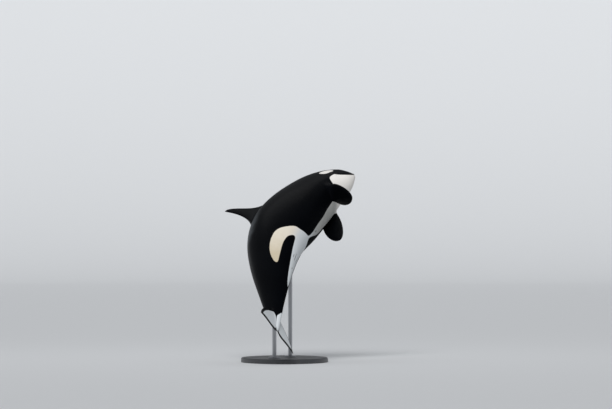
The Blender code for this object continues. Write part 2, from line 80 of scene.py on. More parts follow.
# The body's sections: station, half width, height above the spine and depth below it as fractions of the
# length, and the power of the section's outline, where 2 is an ellipse
SECTIONS = (
    (0.000, 0.027, 0.023, 0.018, 2.10),
    (0.030, 0.040, 0.046, 0.032, 2.10),
    (0.060, 0.054, 0.064, 0.045, 2.10),
    (0.100, 0.070, 0.079, 0.060, 2.10),
    (0.150, 0.085, 0.089, 0.077, 2.10),
    (0.200, 0.095, 0.095, 0.091, 2.10),
    (0.270, 0.103, 0.102, 0.104, 2.10),
    (0.350, 0.107, 0.109, 0.113, 2.10),
    (0.430, 0.105, 0.111, 0.113, 2.10),
    (0.510, 0.097, 0.106, 0.106, 2.10),
    (0.590, 0.084, 0.096, 0.094, 2.05),
    (0.670, 0.067, 0.083, 0.078, 2.00),
    (0.750, 0.049, 0.067, 0.062, 1.90),
    (0.820, 0.034, 0.052, 0.047, 1.80),
    (0.880, 0.024, 0.039, 0.034, 1.75),
    (0.930, 0.018, 0.026, 0.022, 1.80),
    (0.965, 0.014, 0.014, 0.012, 1.90),
    (0.985, 0.009, 0.007, 0.006, 2.00),
)
SNOUT_ROUNDING = 0.045
TAIL_ROUNDING = 0.012
TAIL_END = 0.986
NORMAL_STEP = 0.0005
TINY = 1e-12

# Slow swellings of the whole skin: share of their height, waves along the body and their start, how far
# they bend round the section, turns round it, drift along it and lean
SWELLS = ((1.0, 3.1, 0.0, 2.0, 2, 1.3, 0.0), (0.6, 5.3, 1.7, 1.5, 3, -2.1, np.pi / 2))
SWELLS_FADE = ((0.02, 0.15), (0.97, 0.80))

# The navel and the belly's slits: station, angle in degrees, half length, half width and depth
BELLY_MARKS = (
    (0.391, 180.0, 0.030, 0.016, 0.012),
    (0.640, 180.0, 0.110, 0.013, 0.014),
    (0.645, 169.8, 0.050, 0.010, 0.009),
    (0.700, 180.0, 0.025, 0.014, 0.009),
)

# The mouth's line and, measured from it, the middle and half width of each lip
MOUTH_CORNER = 0.080
MOUTH_FRONT_ANGLE = 114.0
MOUTH_CORNER_ANGLE = 87.0
MOUTH_ROUNDING = 0.045
MOUTH_FADE = (MOUTH_CORNER + 0.003, MOUTH_CORNER - 0.006)
CREASE_HALF_WIDTH = 0.007
UPPER_LIP = (0.020, 0.016)
LOWER_LIP = (-0.018, 0.014)
LOWER_LIP_SHARE = 0.7
# The cheek: height, station, half length, place above the mouth's line and half width
CHEEK = (0.010, MOUTH_CORNER + 0.010, 0.07, -0.03, 0.06)

EYE_STATION = 0.092
EYE_ANGLE = 81.5
EYE_RADIUS = 0.034
EYE_DEPTH = 0.027
EYE_OPENING = (0.028, 0.0135)
OPENING_POWER = 1.6
EYE_ROWS = 40
EYE_COLUMNS = 64
# The brow: height, place above the eye, half width, place behind it and half length; then the swelling
# round the eye: height, how much longer than high, and half width
BROW = (0.006, 0.055, 0.022, 0.005, 0.065)
ORBIT = (0.004, 1.5, 0.045)

# The lids: rows, the block of skin that they replace as stations and degrees each way, thickness, and where
# the upper and lower halves and the corners begin
LID_ROWS = 26
LID_BLOCK = (0.0130, 8.0)
LID_THICKNESS = 0.0030
LID_HALVES = (-0.1, 0.5)
LID_CORNERS = (0.75, 0.98)
LOWER_LID_SHARE = 0.7
LID_SWELLING = (0.006, 0.006)
LID_REACH = 0.017
LID_REACH_POWER = 1.5
LID_EASING = 0.35
# Folds round the eye: place outside the lid's margin, half width and share of the folds' depth
UPPER_FOLDS = ((0.010, 0.0024, 1.0), (0.019, 0.004, 0.6))
LOWER_FOLDS = ((0.009, 0.0026, 0.7),)
CORNER_FOLDS = ((0.014, 0.010, 0.35),)
CORNER_FOLD_COUNT = 26
SOCKET_GAP = 0.0006
MARGIN_ROWS = 6
# Rows of the lid's margin left without painted shade; the rows inside them are shaded
UNSHADED_MARGIN_ROWS = 2
MARGIN_BULGE = 0.45
SOCKET_ROWS = 10

# The blowhole: a crescent slit round the rear of a plug, its horns' fade in radians from the rear, the
# collar's height, place outside the slit and half width, and the plug's height and half width
BLOWHOLE_STATION = 0.104
BLOWHOLE_RADIUS = 0.045
BLOWHOLE_BLOCK = (0.0155, 13.0)
BLOWHOLE_HORNS = (1.35, 0.85)
BLOWHOLE_SLIT = 0.0055
BLOWHOLE_SLIT_DEPTH = 0.018
BLOWHOLE_COLLAR = (0.005, 0.016, 0.010)
BLOWHOLE_PLUG = (0.005, 0.034)
COLLAR_ROWS = 6
SLIT_ROWS = 26
SLIT_REACH = 3.4
PLUG_ROWS = 7

# The skin's grid: columns round it and rows for each metre along it. More rows follow at the snout, as rows
# and reach, on the head, as rows, end and fade, and at the eye, the belly's marks and the tail's end, as
# rows, place and reach
COLUMNS = 144
ROW_DENSITY = 48.0
SNOUT_DENSITY = (400.0, 0.004)
HEAD_DENSITY = (130.0, 0.135, 0.010)
DENSITIES = ((60.0, 0.097, 0.016), (160.0, 0.391, 0.008), (90.0, 0.645, 0.028), (160.0, 0.983, 0.008))
DENSITY_STEPS = 20000
# The columns crowd towards the mouth and then the eye, and further back towards the back and the belly
EYE_FOCUS = (EYE_STATION - 0.004, EYE_ANGLE + 1)
HEAD_CROWDING = 0.84
HEAD_CROWDING_FADE = (0.150, 0.116)
BELLY_CROWDING = 0.62
BELLY_CROWDING_FADE = ((0.28, 0.36), (0.86, 0.74))
SNOUT_TIP = 0.0015

# Each fin's leading and trailing edge: four control points, each tailward and outward of the root's middle
DORSAL_STATION = 0.405
DORSAL_SUNK = 0.12
DORSAL_LEAD = ((-0.412, 0.0), (-0.031, 0.941), (0.071, 0.861), (0.146, 0.868))
DORSAL_TRAIL = ((0.485, 0.0), (-0.051, 0.369), (0.196, 0.873), (0.146, 0.868))
DORSAL_HALF_THICKNESS = 0.042
DORSAL_FLARE = 0.010

FLIPPER_STATION = 0.166
FLIPPER_ANGLE = 135.0
FLIPPER_LEAD = ((-0.163, -0.12), (-0.225, 0.178), (-0.17, 0.933), (0.018, 0.962))
FLIPPER_TRAIL = ((0.149, -0.12), (0.369, 0.312), (0.219, 0.993), (0.018, 0.962))
FLIPPER_HALF_THICKNESS = 0.040
FLIPPER_FLARE = 0.030
# Sweep towards the tail, drop below the side, and pitch about the span, in degrees
RIGHT_FLIPPER_SET = (15.2, 61.4, -72.3)
LEFT_FLIPPER_SET = (34.2, 99.4, -15.3)

FLUKE_STATION = 0.955
FLUKE_LEAD = ((-0.36, 0.0), (-0.22, 0.34), (0.02, 0.72), (0.28, 0.80))
FLUKE_TRAIL = ((0.20, 0.0), (0.36, 0.12), (0.20, 0.45), (0.28, 0.80))
FLUKE_HALF_THICKNESS = 0.034
FLUKE_FLARE = 0.010

# The block of skin that each fin grows from, from station to station and from angle to angle in degrees, and
# the span at which its blade starts, with the blade's rows
DORSAL_BLOCK = ((0.314, 0.478), (-11, 11))
RIGHT_FLIPPER_BLOCK = ((0.142, 0.194), (112, 161))
LEFT_FLIPPER_BLOCK = ((0.139, 0.222), (-153, -118))
RIGHT_FLUKE_BLOCK = ((0.893, 0.978), (62, 118))
LEFT_FLUKE_BLOCK = ((0.893, 0.978), (-118, -62))
DORSAL_ROWS = (0.20, 30)
FLIPPER_ROWS = (0.23, 36)
FLUKE_ROWS = (0.16, 34)

# The blades: how they thin outward, the share of the widest chord below which they close, the spans among
# which the widest is sought, where the root's flare ends, the foil's scale, power and rear edge, and how the
# rows crowd at the tip
THINNING = 0.35
FULL_CHORD = 0.6
CHORD_SPANS = np.linspace(0, 1, 41)
FLARE_END = 0.4
FOIL_SCALE = 1.92
FOIL_POWER = 0.8
FOIL_REAR = 0.12
TIP_CROWDING = 1.5

# The fillets at the fins' roots: rows, evenness of the columns, how straight they arrive, the rings and
# rows on either side that are smoothed with them, and the rounds of smoothing
FILLET_ROWS = 11
EVENNESS = 0.75
ARRIVAL = 1.1
SOFT_RINGS = 5
SOFT_BLADE_ROWS = 8
FIRM_ROWS = 2
RELAX_ROUNDS = 20

# The white markings of one side as closed loops: station and angle from the back, in degrees
WHITE_UNDERSIDE = (
    (-0.010, 116.0), (0.021, 107.5), (0.041, 100.0), (0.062, 93.5), (0.080, 88.3), (0.098, 89.5),
    (0.112, 92.5), (0.121, 97.0), (0.127, 104.0), (0.129, 112.0), (0.131, 121.0), (0.136, 132.0),
    (0.145, 143.0), (0.160, 152.0), (0.188, 157.6), (0.230, 161.0), (0.280, 164.5), (0.320, 167.6),
    (0.360, 168.6), (0.390, 171.5), (0.420, 175.5), (0.450, 177.6), (0.470, 176.8), (0.482, 171.5),
    (0.495, 162.0), (0.507, 151.0), (0.513, 140.0), (0.527, 130.0), (0.541, 120.5), (0.554, 111.0),
    (0.573, 103.0), (0.596, 99.0), (0.620, 96.6), (0.647, 96.2), (0.674, 99.5), (0.697, 107.0),
    (0.706, 114.5), (0.703, 119.5), (0.684, 122.5), (0.651, 125.2), (0.622, 127.2), (0.600, 130.0),
    (0.580, 134.5), (0.566, 142.0), (0.560, 149.0), (0.570, 154.0), (0.596, 156.0), (0.632, 158.5),
    (0.671, 161.0), (0.729, 163.5), (0.765, 167.0), (0.785, 174.0), (0.790, 184.0), (0.770, 205.0),
    (0.300, 215.0), (-0.010, 205.0),
)  # fmt: skip
EYE_PATCH = (
    (0.070, 65.0), (0.078, 70.5), (0.092, 74.5), (0.110, 76.8), (0.126, 76.0), (0.136, 72.5),
    (0.138, 69.0), (0.132, 65.5), (0.118, 61.0), (0.100, 57.0), (0.085, 56.0), (0.074, 59.0),
)  # fmt: skip
FLUKE_PATCH = ((0.915, 210.0), (0.915, 175.0), (0.925, 145.0), (0.94, 124.0), (1.0, 122.0), (1.0, 210.0))
SADDLE = (
    (0.448, 36.0), (0.470, 46.0), (0.505, 51.0), (0.540, 48.0), (0.566, 38.0), (0.582, 24.0),
    (0.588, 8.0), (0.588, -8.0), (0.540, -14.0), (0.496, -6.0), (0.484, 8.0), (0.468, 20.0),
)  # fmt: skip
# The steps between an outline's corners, a girth that is never nothing, and the least depth that is kept
OUTLINE_STEPS = 10
LEAST_GIRTH = 1e-4
LEAST_DEPTH = -1.0
# Painted shade along the mouth's crease: its half width and its fade at the corner
MOUTH_SHADE_HALF_WIDTH = 0.009
MOUTH_SHADE_FADE = (MOUTH_CORNER + 0.003, MOUTH_CORNER - 0.003)
# What a fin keeps: a depth outside every marking, and a side's place between the back and the belly
DARK_DEPTH = -0.2
SIDE_BELLY = 0.5
# A fluke's dark margin, and how fast the white's depth grows from its edges and its tip
FLUKE_MARGIN = 0.055
FLUKE_EDGE_RATE = 0.85
FLUKE_TIP_RATE = 0.8

# Clouds of noise in the finishes: how many to the metre, detail, and the stretch of the streaked ones
EDGE_CLOUDS = (14.0, 3.0)
BLACK_CLOUDS = (1.7, 4.0)
SADDLE_CLOUDS = (7.0, 5.0)
STAIN_CLOUDS = (4.0, 4.0)
WRINKLE_CLOUDS = (5.0, 3.0)
GRAIN_CLOUDS = (55.0, 4.0)
RIPPLE_CLOUDS = (6.0, 2.0)
FLECK_CLOUDS = (260.0, 3.0)
BRUSHING = (90.0, 3.0, (1.0, 1.0, 0.02))
BOARD_GRAIN = (9.0, 6.0, (1.0, 0.06, 1.0))
GLOSS_CLOUDS = (3.0, 3.0)

# Where the skin's colours pass into each other: stations, shares of the way from back to belly, or depths
# Painted shade: the white greys from the chin rearward to the chest
CHEST_SHADE_FROM_CHIN = (0.12, 0.20)
REAR_FROM_CHEST = (0.34, 0.48)
# Painted shade: the flank's white greys towards the belly, and the flukes' underside takes the belly's grey
BELLY_SHADE_FROM_FLANK = (0.74, 0.90)
FLUKES_FROM_TAIL = (0.80, 0.88)
STAIN_FADE = (0.56, 0.76)
STAIN_WANDER = 0.10
EDGE_WANDER = 0.012
SADDLE_FADE = (-0.02, 0.24)
SADDLE_WANDER = 0.14
# How far the painted shade in creases, slits and round the eye darkens the skin
CREASE_SHADE_STRENGTH = 0.85
WRINKLES_FRONT = (0.13, 0.17)
WRINKLES_REAR = (0.46, 0.40)
WRINKLES_SIDE = (0.84, 0.93)
WRINKLES_WANDER = 9.0
WRINKLES_SHADE = (0.1, -0.9)
RIPPLE_DEPTH = 0.004
# The gloss fades from the flanks to the belly, which would else mirror the pale floor
DULL_UNDERSIDE = (0.30, 0.88)
DULLNESS = 0.97

EYE_ROUGHNESS = 0.12
EYE_FILM_ROUGHNESS = 0.03
PUPIL_EDGE = (0.20, 0.26)
IRIS_EDGE = (0.50, 0.60)
FLECK_STRENGTH = 0.30

# Roughness from its least and its spread, and the surface's rise
STEEL_ROUGHNESS = (0.24, 0.22)
STEEL_RISE = 0.0003
PAINT_ROUGHNESS = (0.34, 0.16)
PAINT_RISE = 0.0006

# The picture: the metres in a pixel at the animal, its size, the snout's pixel, the row at the camera's own
# height, and the place along +Y at which a pixel has that size
PIXEL = LENGTH / 272.5
PICTURE = (612, 409)
SNOUT_PIXEL = (355.1, 175.1)
LEVEL_PIXEL = 213.0
PICTURE_DEPTH = 0.70
SENSOR_WIDTH = 36.0
CLIP_END = 400.0

# The stage: the round floor's radius, the radius of its sweep upward, and how far the sweep turns in degrees
FLOOR_RADIUS = 100.0
FLOOR_STEPS = 8
SWEEP_RADIUS = 60.0
SWEEP_TURN = 50.0
SWEEP_STEPS = 32
STAGE_COLUMNS = 128
FLOOR_ROUGHNESS = 0.9
FLOOR_SPECULAR = 0.1
OVERHEAD_SIZE = (12.0, 5.0)
OVERHEAD_PLACE = (-1.0, 4.0, 13.0)
OVERHEAD_TARGET = (0.0, 0.0, 3.4)
FRONT_ANGLE = 30.0
FRONT_PLACE = (-1.5, -12.0, 9.0)
FRONT_TARGET = (0.0, 0.0, 0.0)


def smooth_step(low, high, value):
    """0 at the low value and 1 at the high one, eased at both."""
    share = np.clip((value - low) / (high - low), 0, 1)
    return share * share * (3 - 2 * share)


def bump(distance, width):
    """A Gaussian bell, 1 at its middle."""
    return np.exp(-((distance / width) ** 2))


def unit(vectors):
    """The vectors brought to a length of one."""
    return vectors / (np.linalg.norm(vectors, axis=-1, keepdims=True) + TINY)


def curve_through(rows, column, at):
    """The natural cubic spline through a table's first column and the given one, read at these places."""
    table = np.array(rows)
    x, y = table[:, 0], table[:, column]
    step = np.diff(x)
    last = len(x) - 1
    system = np.zeros((last + 1, last + 1))
    wanted = np.zeros(last + 1)
    system[0, 0] = system[last, last] = 1
    for i in range(1, last):
        system[i, i - 1 : i + 2] = step[i - 1], 2 * (step[i - 1] + step[i]), step[i]
        wanted[i] = 6 * ((y[i + 1] - y[i]) / step[i] - (y[i] - y[i - 1]) / step[i - 1])
    bend = np.linalg.solve(system, wanted)
    at = np.clip(np.asarray(at, float), x[0], x[-1])
    i = np.clip(np.searchsorted(x, at) - 1, 0, last - 1)
    past, left = at - x[i], x[i + 1] - at
    cubic = (bend[i] * left**3 + bend[i + 1] * past**3) / (6 * step[i])
    start = (y[i] / step[i] - bend[i] * step[i] / 6) * left
    end = (y[i + 1] / step[i] - bend[i + 1] * step[i] / 6) * past
    return cubic + start + end


def make_spine():
    """The stations along the spine, and at each the spine's point and its headward, dorsal and right axes."""
    station = np.linspace(*SPINE_REACH, SPINE_STEPS + 1)
    climb, turn, roll = (np.radians(curve_through(POSE, column, station)) for column in (1, 2, 3))
    level = np.cos(turn)
    headward = np.stack([level * np.cos(climb), np.sin(turn), level * np.sin(climb)], -1)
    lift = np.stack([-np.sin(climb), 0 * climb, np.cos(climb)], -1)
    near = np.cross(headward, lift)
    dorsal = np.cos(roll)[:, None] * lift - np.sin(roll)[:, None] * near
    right = np.cos(roll)[:, None] * near + np.sin(roll)[:, None] * lift
    middle = (headward[1:] + headward[:-1]) / 2
    travel = np.cumsum(middle * np.diff(station)[:, None] * LENGTH, axis=0)
    point = -np.concatenate([np.zeros((1, 3)), travel])
    snout = read_at(station, point, 0.0)
    return station, point - snout + np.array(SNOUT), headward, dorsal, right


def read_at(station, field, at):
    """A field of vectors along the spine, read between its stations."""
    return np.stack([np.interp(at, station, field[:, axis]) for axis in range(3)], -1)


SPINE = make_spine()


def frame_at(at):
    """The spine's point and its headward, dorsal and right axes at a station."""
    return [read_at(SPINE[0], field, at) for field in SPINE[1:]]


def section_at(at):
    """The section's half width, height, depth and power; both ends of the body close as a quarter circle."""
    width, height, depth, power = (curve_through(SECTIONS, column, at) for column in (1, 2, 3, 4))
    front = np.clip(at, 0, SNOUT_ROUNDING) / SNOUT_ROUNDING
    rear = np.clip(TAIL_END - at, 0, TAIL_ROUNDING) / TAIL_ROUNDING
    closing = np.sqrt(1 - (1 - front) ** 2) * np.sqrt(1 - (1 - rear) ** 2) * LENGTH
    return width * closing, height * closing, depth * closing, power


def section_point(at, angle):
    """Side and height of the bare section at an angle from the back: a superellipse of unequal halves."""
    width, height, depth, power = section_at(at)
    sine, cosine = np.sin(angle), np.cos(angle)
    side = width * np.sign(sine) * np.abs(sine) ** (2 / power)
    reach = np.where(cosine >= 0, height, depth)
    return side, reach * np.sign(cosine) * np.abs(cosine) ** (2 / power)


def skin_point(at, angle):
    """A point of the bare body: the section's side and height laid off from the spine."""
    point, _, dorsal, right = frame_at(at)
    side, up = section_point(at, angle)
    return point + side[..., None] * right + up[..., None] * dorsal


def skin_normal(at, angle):
    """The outward normal: the cross product of the skin's differences along and across it."""
    behind, ahead = np.maximum(at - NORMAL_STEP, 0), np.minimum(at + NORMAL_STEP, TAIL_END)
    along = skin_point(behind, angle) - skin_point(ahead, angle)
    across = skin_point(at, angle + 4 * NORMAL_STEP) - skin_point(at, angle - 4 * NORMAL_STEP)
    return unit(np.cross(across, along))


def mouth_angle(at):
    """The mouth's place round the section, which rises towards its corner."""
    along = np.clip(at / MOUTH_CORNER, 0, 1)
    return np.radians(MOUTH_FRONT_ANGLE + (MOUTH_CORNER_ANGLE - MOUTH_FRONT_ANGLE) * along)


def above_mouth(at, angle):
    """Metres above the line of the mouth, a hyperbola in the section so that it rounds the snout's front."""
    side, up = section_point(at, angle)
    turn = mouth_angle(at)
    return up * np.sin(turn) - (np.hypot(side, MOUTH_ROUNDING) - MOUTH_ROUNDING) * np.cos(turn)


def row_stations():
    """The rows' stations: equal steps of the summed row density."""
    fine = np.linspace(0, TAIL_END, DENSITY_STEPS + 1)
    density = ROW_DENSITY + SNOUT_DENSITY[0] * np.exp(-fine / SNOUT_DENSITY[1])
    extra, end, fade = HEAD_DENSITY
    density += extra * smooth_step(end + fade, end - fade, fine)
    for extra, middle, reach in DENSITIES:
        density += extra * bump(fine - middle, reach)
    rows = np.concatenate([[0], np.cumsum((density[1:] + density[:-1]) / 2 * np.diff(fine)) * LENGTH])
    return np.interp(np.linspace(0, rows[-1], int(rows[-1])), rows, fine)


def crowded(share, crowding):
    """Even shares of a whole drawn towards both its ends by a sine wave."""
    return share - crowding / (2 * np.pi) * np.sin(2 * np.pi * share)


def column_angles(at):
    """Each row's angles to half a turn either way, crowded at the back, the belly and the head's mouth."""
    turn = np.linspace(-1, 1, COLUMNS, endpoint=False)[None, :]
    at = at[:, None]
    half = np.abs(turn)
    eye_line = smooth_step(MOUTH_CORNER, EYE_FOCUS[0], at)
    focus = mouth_angle(at) + (np.radians(EYE_FOCUS[1]) - mouth_angle(at)) * eye_line
    share = crowded(np.where(half < 0.5, 2 * half, 2 * half - 1), HEAD_CROWDING)
    head = np.where(half < 0.5, focus * share, focus + (np.pi - focus) * share)
    front, rear = BELLY_CROWDING_FADE
    body = np.pi * crowded(half, BELLY_CROWDING * smooth_step(*front, at) * smooth_step(*rear, at))
    return np.sign(turn) * (body + (head - body) * smooth_step(*HEAD_CROWDING_FADE, at))


def eye_place(at, angle):
    """Metres headward and upward from the eye's middle, on the skin."""
    half_width = section_at(at)[0]
    return (EYE_STATION - at) * LENGTH, (np.radians(EYE_ANGLE) - np.abs(angle)) * half_width


def eye_frame(sign):
    """An eye's middle and its outward, headward and upward axes on one side."""
    at, turn = np.array(EYE_STATION), np.radians(EYE_ANGLE) * sign
    normal = skin_normal(at, turn)
    headward = frame_at(EYE_STATION)[1]
    headward = unit(headward - normal * (headward @ normal))
    upward = np.cross(normal, headward) * sign
    return skin_point(at, turn) - normal * EYE_DEPTH, normal, headward, upward


def blowhole_place(at, angle):
    """Metres from the blowhole's middle, the crescent's share, 1 at its rear, and the slit's share of depth.

    The slit's section is a flat-bottomed bell on a circle round the middle.
    """
    rearward = (at - BLOWHOLE_STATION) * LENGTH
    sideways = angle * section_at(at)[0]
    ring = np.hypot(rearward, sideways)
    horn = smooth_step(*BLOWHOLE_HORNS, np.abs(np.arctan2(sideways, rearward)))
    return ring, horn, np.exp(-np.abs((ring - BLOWHOLE_RADIUS) / BLOWHOLE_SLIT) ** 3) * horn


def head_relief(at, angle, look):
    """How far the head's skin stands out: lips, the mouth's crease, cheek, brow, orbit and blowhole.

    Each form is a Gaussian ridge or groove across its own line, faded at the line's ends.
    """
    across = above_mouth(at, angle)
    (upper, upper_width), (lower, lower_width) = UPPER_LIP, LOWER_LIP
    lips = look.lip_height * bump(across - upper, upper_width)
    lips = lips + LOWER_LIP_SHARE * look.lip_height * bump(across - lower, lower_width)
    crease = look.crease_depth * bump(across, CREASE_HALF_WIDTH)
    relief = (lips - crease) * smooth_step(*MOUTH_FADE, at)
    height, station, long, up, wide = CHEEK
    relief = relief + height * bump((at - station) * LENGTH, long) * bump(across - up, wide)

    ahead, above = eye_place(at, angle)
    height, up, wide, behind, long = BROW
    relief = relief + height * bump(above - up, wide) * bump(ahead + behind, long)
    height, longer, wide = ORBIT
    relief = relief + height * bump(np.hypot(ahead / longer, above), wide)

    ring, horn, slit = blowhole_place(at, angle)
    height, outside, wide = BLOWHOLE_COLLAR
    relief = relief + height * bump(ring - BLOWHOLE_RADIUS - outside, wide) * horn
    height, wide = BLOWHOLE_PLUG
    return relief + height * bump(ring, wide) - BLOWHOLE_SLIT_DEPTH * slit


def groove(at, angle, station, turn, long, wide, deep):
    """A short slit along the body: a groove with a Gaussian section that thins towards both ends."""
    along = (at - station) * LENGTH / long
    across = (np.abs(angle) - np.radians(turn)) * section_at(at)[0]
    return -deep * bump(across, wide) * np.exp(-(along**4))


def body_relief(at, angle, look):
    """Slow swellings and hollows, products of waves along and round the body, and the belly's slits."""
    along = at * LENGTH
    slow = 0
    for share, rate, start, bend, turns, drift, lean in SWELLS:
        lengthwise = np.sin(rate * along + start + bend * np.cos(angle - lean))
        slow = slow + share * lengthwise * np.sin(turns * angle + drift * along + lean)
    front, rear = SWELLS_FADE
    relief = look.unevenness * slow * smooth_step(*front, at) * smooth_step(*rear, at)
    for mark in BELLY_MARKS:
        relief = relief + groove(at, angle, *mark)
    return relief


def skin_relief(at, angle, look):
    """How far the skin stands out from the bare body: the sum of the body's and the head's forms."""
    return body_relief(at, angle, look) + head_relief(at, angle, look)


def crease_shade_share(at, angle):
    """The share of painted shade in the hollows: 1 in the mouth's crease, the blowhole and the belly's slits,
    0 elsewhere.
    """
    dark = bump(above_mouth(at, angle), MOUTH_SHADE_HALF_WIDTH) * smooth_step(*MOUTH_SHADE_FADE, at)
    dark = np.maximum(dark, blowhole_place(at, angle)[2])
    for station, turn, long, wide, _ in BELLY_MARKS:
        dark = np.maximum(dark, -groove(at, angle, station, turn, long, wide, 1.0))
    return dark


def closed_curve(corners):
    """A smooth closed outline through its corners, as a Catmull-Rom curve."""
    at = np.array(corners)
    t = (np.arange(OUTLINE_STEPS) / OUTLINE_STEPS)[None, :, None]
    before, start, end, after = (np.roll(at, shift, axis=0)[:, None] for shift in (1, 0, -1, -2))
    curve = 2 * start + (end - before) * t + (2 * before - 5 * start + 4 * end - after) * t**2
    curve = curve + (3 * start - before - 3 * end + after) * t**3
    return curve.reshape(-1, 2) / 2


def inside_distance(outline, at, angle):
    """Metres inside a closed outline, negative outside, for stations and angles in degrees.

    Distances are measured on the skin unrolled at each point's own girth, and a point is inside where a line
    from it crosses the outline an odd number of times.
    """
    width, height, depth, _ = section_at(at)
    girth = np.radians(1) * (width + (height + depth) / 2) / 2 + LEAST_GIRTH
    best = np.full(at.shape, np.inf)
    inside = np.zeros(at.shape, bool)
    for (s0, a0), (s1, a1) in zip(outline, np.roll(outline, -1, axis=0)):
        x0, y0 = (s0 - at) * LENGTH, (a0 - angle) * girth
        dx, dy = (s1 - s0) * LENGTH, (a1 - a0) * girth
        along = np.clip(-(x0 * dx + y0 * dy) / (dx * dx + dy * dy + TINY), 0, 1)
        best = np.minimum(best, np.hypot(x0 + along * dx, y0 + along * dy))
        if a0 != a1:
            inside ^= ((a0 > angle) != (a1 > angle)) & (at < s0 + (angle - a0) / (a1 - a0) * (s1 - s0))
    return np.where(inside, best, -best)


def numbers_at(at, angle):
    """What the skin's points keep for its finish: depths inside the markings, place and the painted shade of
    the hollows.
    """
    degrees = np.abs(np.degrees(angle))
    patches = (WHITE_UNDERSIDE, EYE_PATCH, FLUKE_PATCH)
    whites = [inside_distance(closed_curve(patch), at, degrees) for patch in patches]
    return {
        "white_depth": np.maximum(np.max(whites, axis=0), LEAST_DEPTH),
        "saddle_depth": inside_distance(closed_curve(SADDLE), at, degrees),
        "station": at,
        "belly": np.abs(angle) / np.pi,
        "crease_shade": crease_shade_share(at, angle),
    }


def bezier(points, t):
    """The cubic Bezier curve of four points."""
    start, first, second, end = (np.array(point) for point in points)
    t = np.asarray(t)[..., None]
    return (1 - t) ** 3 * start + 3 * t * (1 - t) ** 2 * first + 3 * t**2 * (1 - t) * second + t**3 * end


def foil(along):
    """A blade's half thickness between its front and its rear edge, 1 at its most.

    It is the root of the distance from the front by a power of that from the rear, and a second root keeps
    the thin rear edge round.
    """
    behind = np.clip(1 - along, 0, 1)
    body = behind**FOIL_POWER * (1 - FOIL_REAR * along)
    return FOIL_SCALE * np.sqrt(along) * (body + FOIL_REAR * np.sqrt(behind))


class Fin(NamedTuple):
    """A fin: its root's middle with its tailward, outward and across axes, its edges and its thickness.

    It grows out of a block of the skin between two stations and two angles in degrees. Its blade starts at
    the first span and has so many rows.
    """

    kind: str
    axes: tuple
    lead: tuple
    trail: tuple
    half_thickness: float
    root_flare: float
    stations: tuple
    angles: tuple
    first_span: float
    span_rows: int

    def chord(self, span):
        return np.linalg.norm(bezier(self.trail, span) - bezier(self.lead, span), axis=-1)

    def thickness(self, span):
        """Half the thickness, flared at the root and closed by a parabola where the chord narrows."""
        narrowing = np.clip(self.chord(span) / (FULL_CHORD * self.chord(CHORD_SPANS).max()), 0, 1)
        flare = self.root_flare * np.clip(1 - span / FLARE_END, 0, 1) ** 2
        return (self.half_thickness * (1 - THINNING * span) + flare) * (1 - (1 - narrowing) ** 2)

    def surface(self, span, turn):
        """The blade: foil sections between its two edges, by the span and the turn round the section."""
        along = (1 - np.cos(turn)) / 2
        front, back = bezier(self.lead, span), bezier(self.trail, span)
        edge = front + (back - front) * along[..., None]
        across = self.thickness(span) * np.sign(np.sin(turn)) * foil(along)
        origin, *axes = self.axes
        return origin + np.concatenate([edge, across[..., None]], -1) @ np.array(axes)

    def grow(self, start, normal):
        """Rows of points from a loop on the skin to the tip, the tip, and where they lie on the fin.

        The first rows are cubic Hermite curves that leave along the skin and arrive along the fin; the rest
        are the fin's own sections. Each loop point keeps its own place round the section. The places are the
        turn of each column, and each row's share of the span and of the fillet.
        """
        origin, tailward, _, across = self.axes
        local = np.stack([(start - origin) @ tailward, (start - origin) @ across], -1)
        middle, half = (local.max(0) + local.min(0)) / 2, (local.max(0) - local.min(0)) / 2
        behind, over = ((local - middle) / half).T
        turn = np.unwrap(np.arctan2(over, -behind))
        even = np.arange(len(turn)) * 2 * np.pi / len(turn) * np.sign(turn[-1] - turn[0])
        turn = turn + EVENNESS * (even - turn + (turn - even).mean())
        left = 1 - np.linspace(0, 1, self.span_rows, endpoint=False)
        spans = 1 - (1 - self.first_span) * left**TIP_CROWDING
        blade = self.surface(spans[:, None], turn)
        target, heading = blade[0], unit(blade[1] - blade[0])
        way = target - start
        gap = np.linalg.norm(way, axis=-1, keepdims=True)
        leave = unit(way - (way * normal).sum(-1, keepdims=True) * normal)
        share = np.linspace(0, 1, FILLET_ROWS + 1)[1:-1, None, None]
        fillet = (
            (2 * share**3 - 3 * share**2 + 1) * start
            + (share**3 - 2 * share**2 + share) * leave * gap
            + (3 * share**2 - 2 * share**3) * target
            + (share**3 - share**2) * heading * gap * ARRIVAL
        )
        rows = np.concatenate([fillet, blade])
        blade_share = np.concatenate([np.zeros(len(fillet)), spans])
        fillet_share = np.concatenate([share[:, 0, 0], np.ones(len(spans))])
        return rows, self.surface(1.0, turn[:1])[0], turn, blade_share, fillet_share

    def white_depth(self, turn, span):
        """Metres inside a fluke's white underside: the nearest edge's distance less the dark margin."""
        along = (1 - np.cos(turn)) / 2
        edge = np.minimum(along, 1 - along) * self.chord(span)[:, None] * FLUKE_EDGE_RATE
        reach = np.linalg.norm(bezier(self.lead, 1.0) - bezier(self.lead, 0.0))
        inside = np.minimum(edge, (1 - span[:, None]) * reach * FLUKE_TIP_RATE)
        return np.where(np.sin(turn) < 0, inside, -edge) - FLUKE_MARGIN


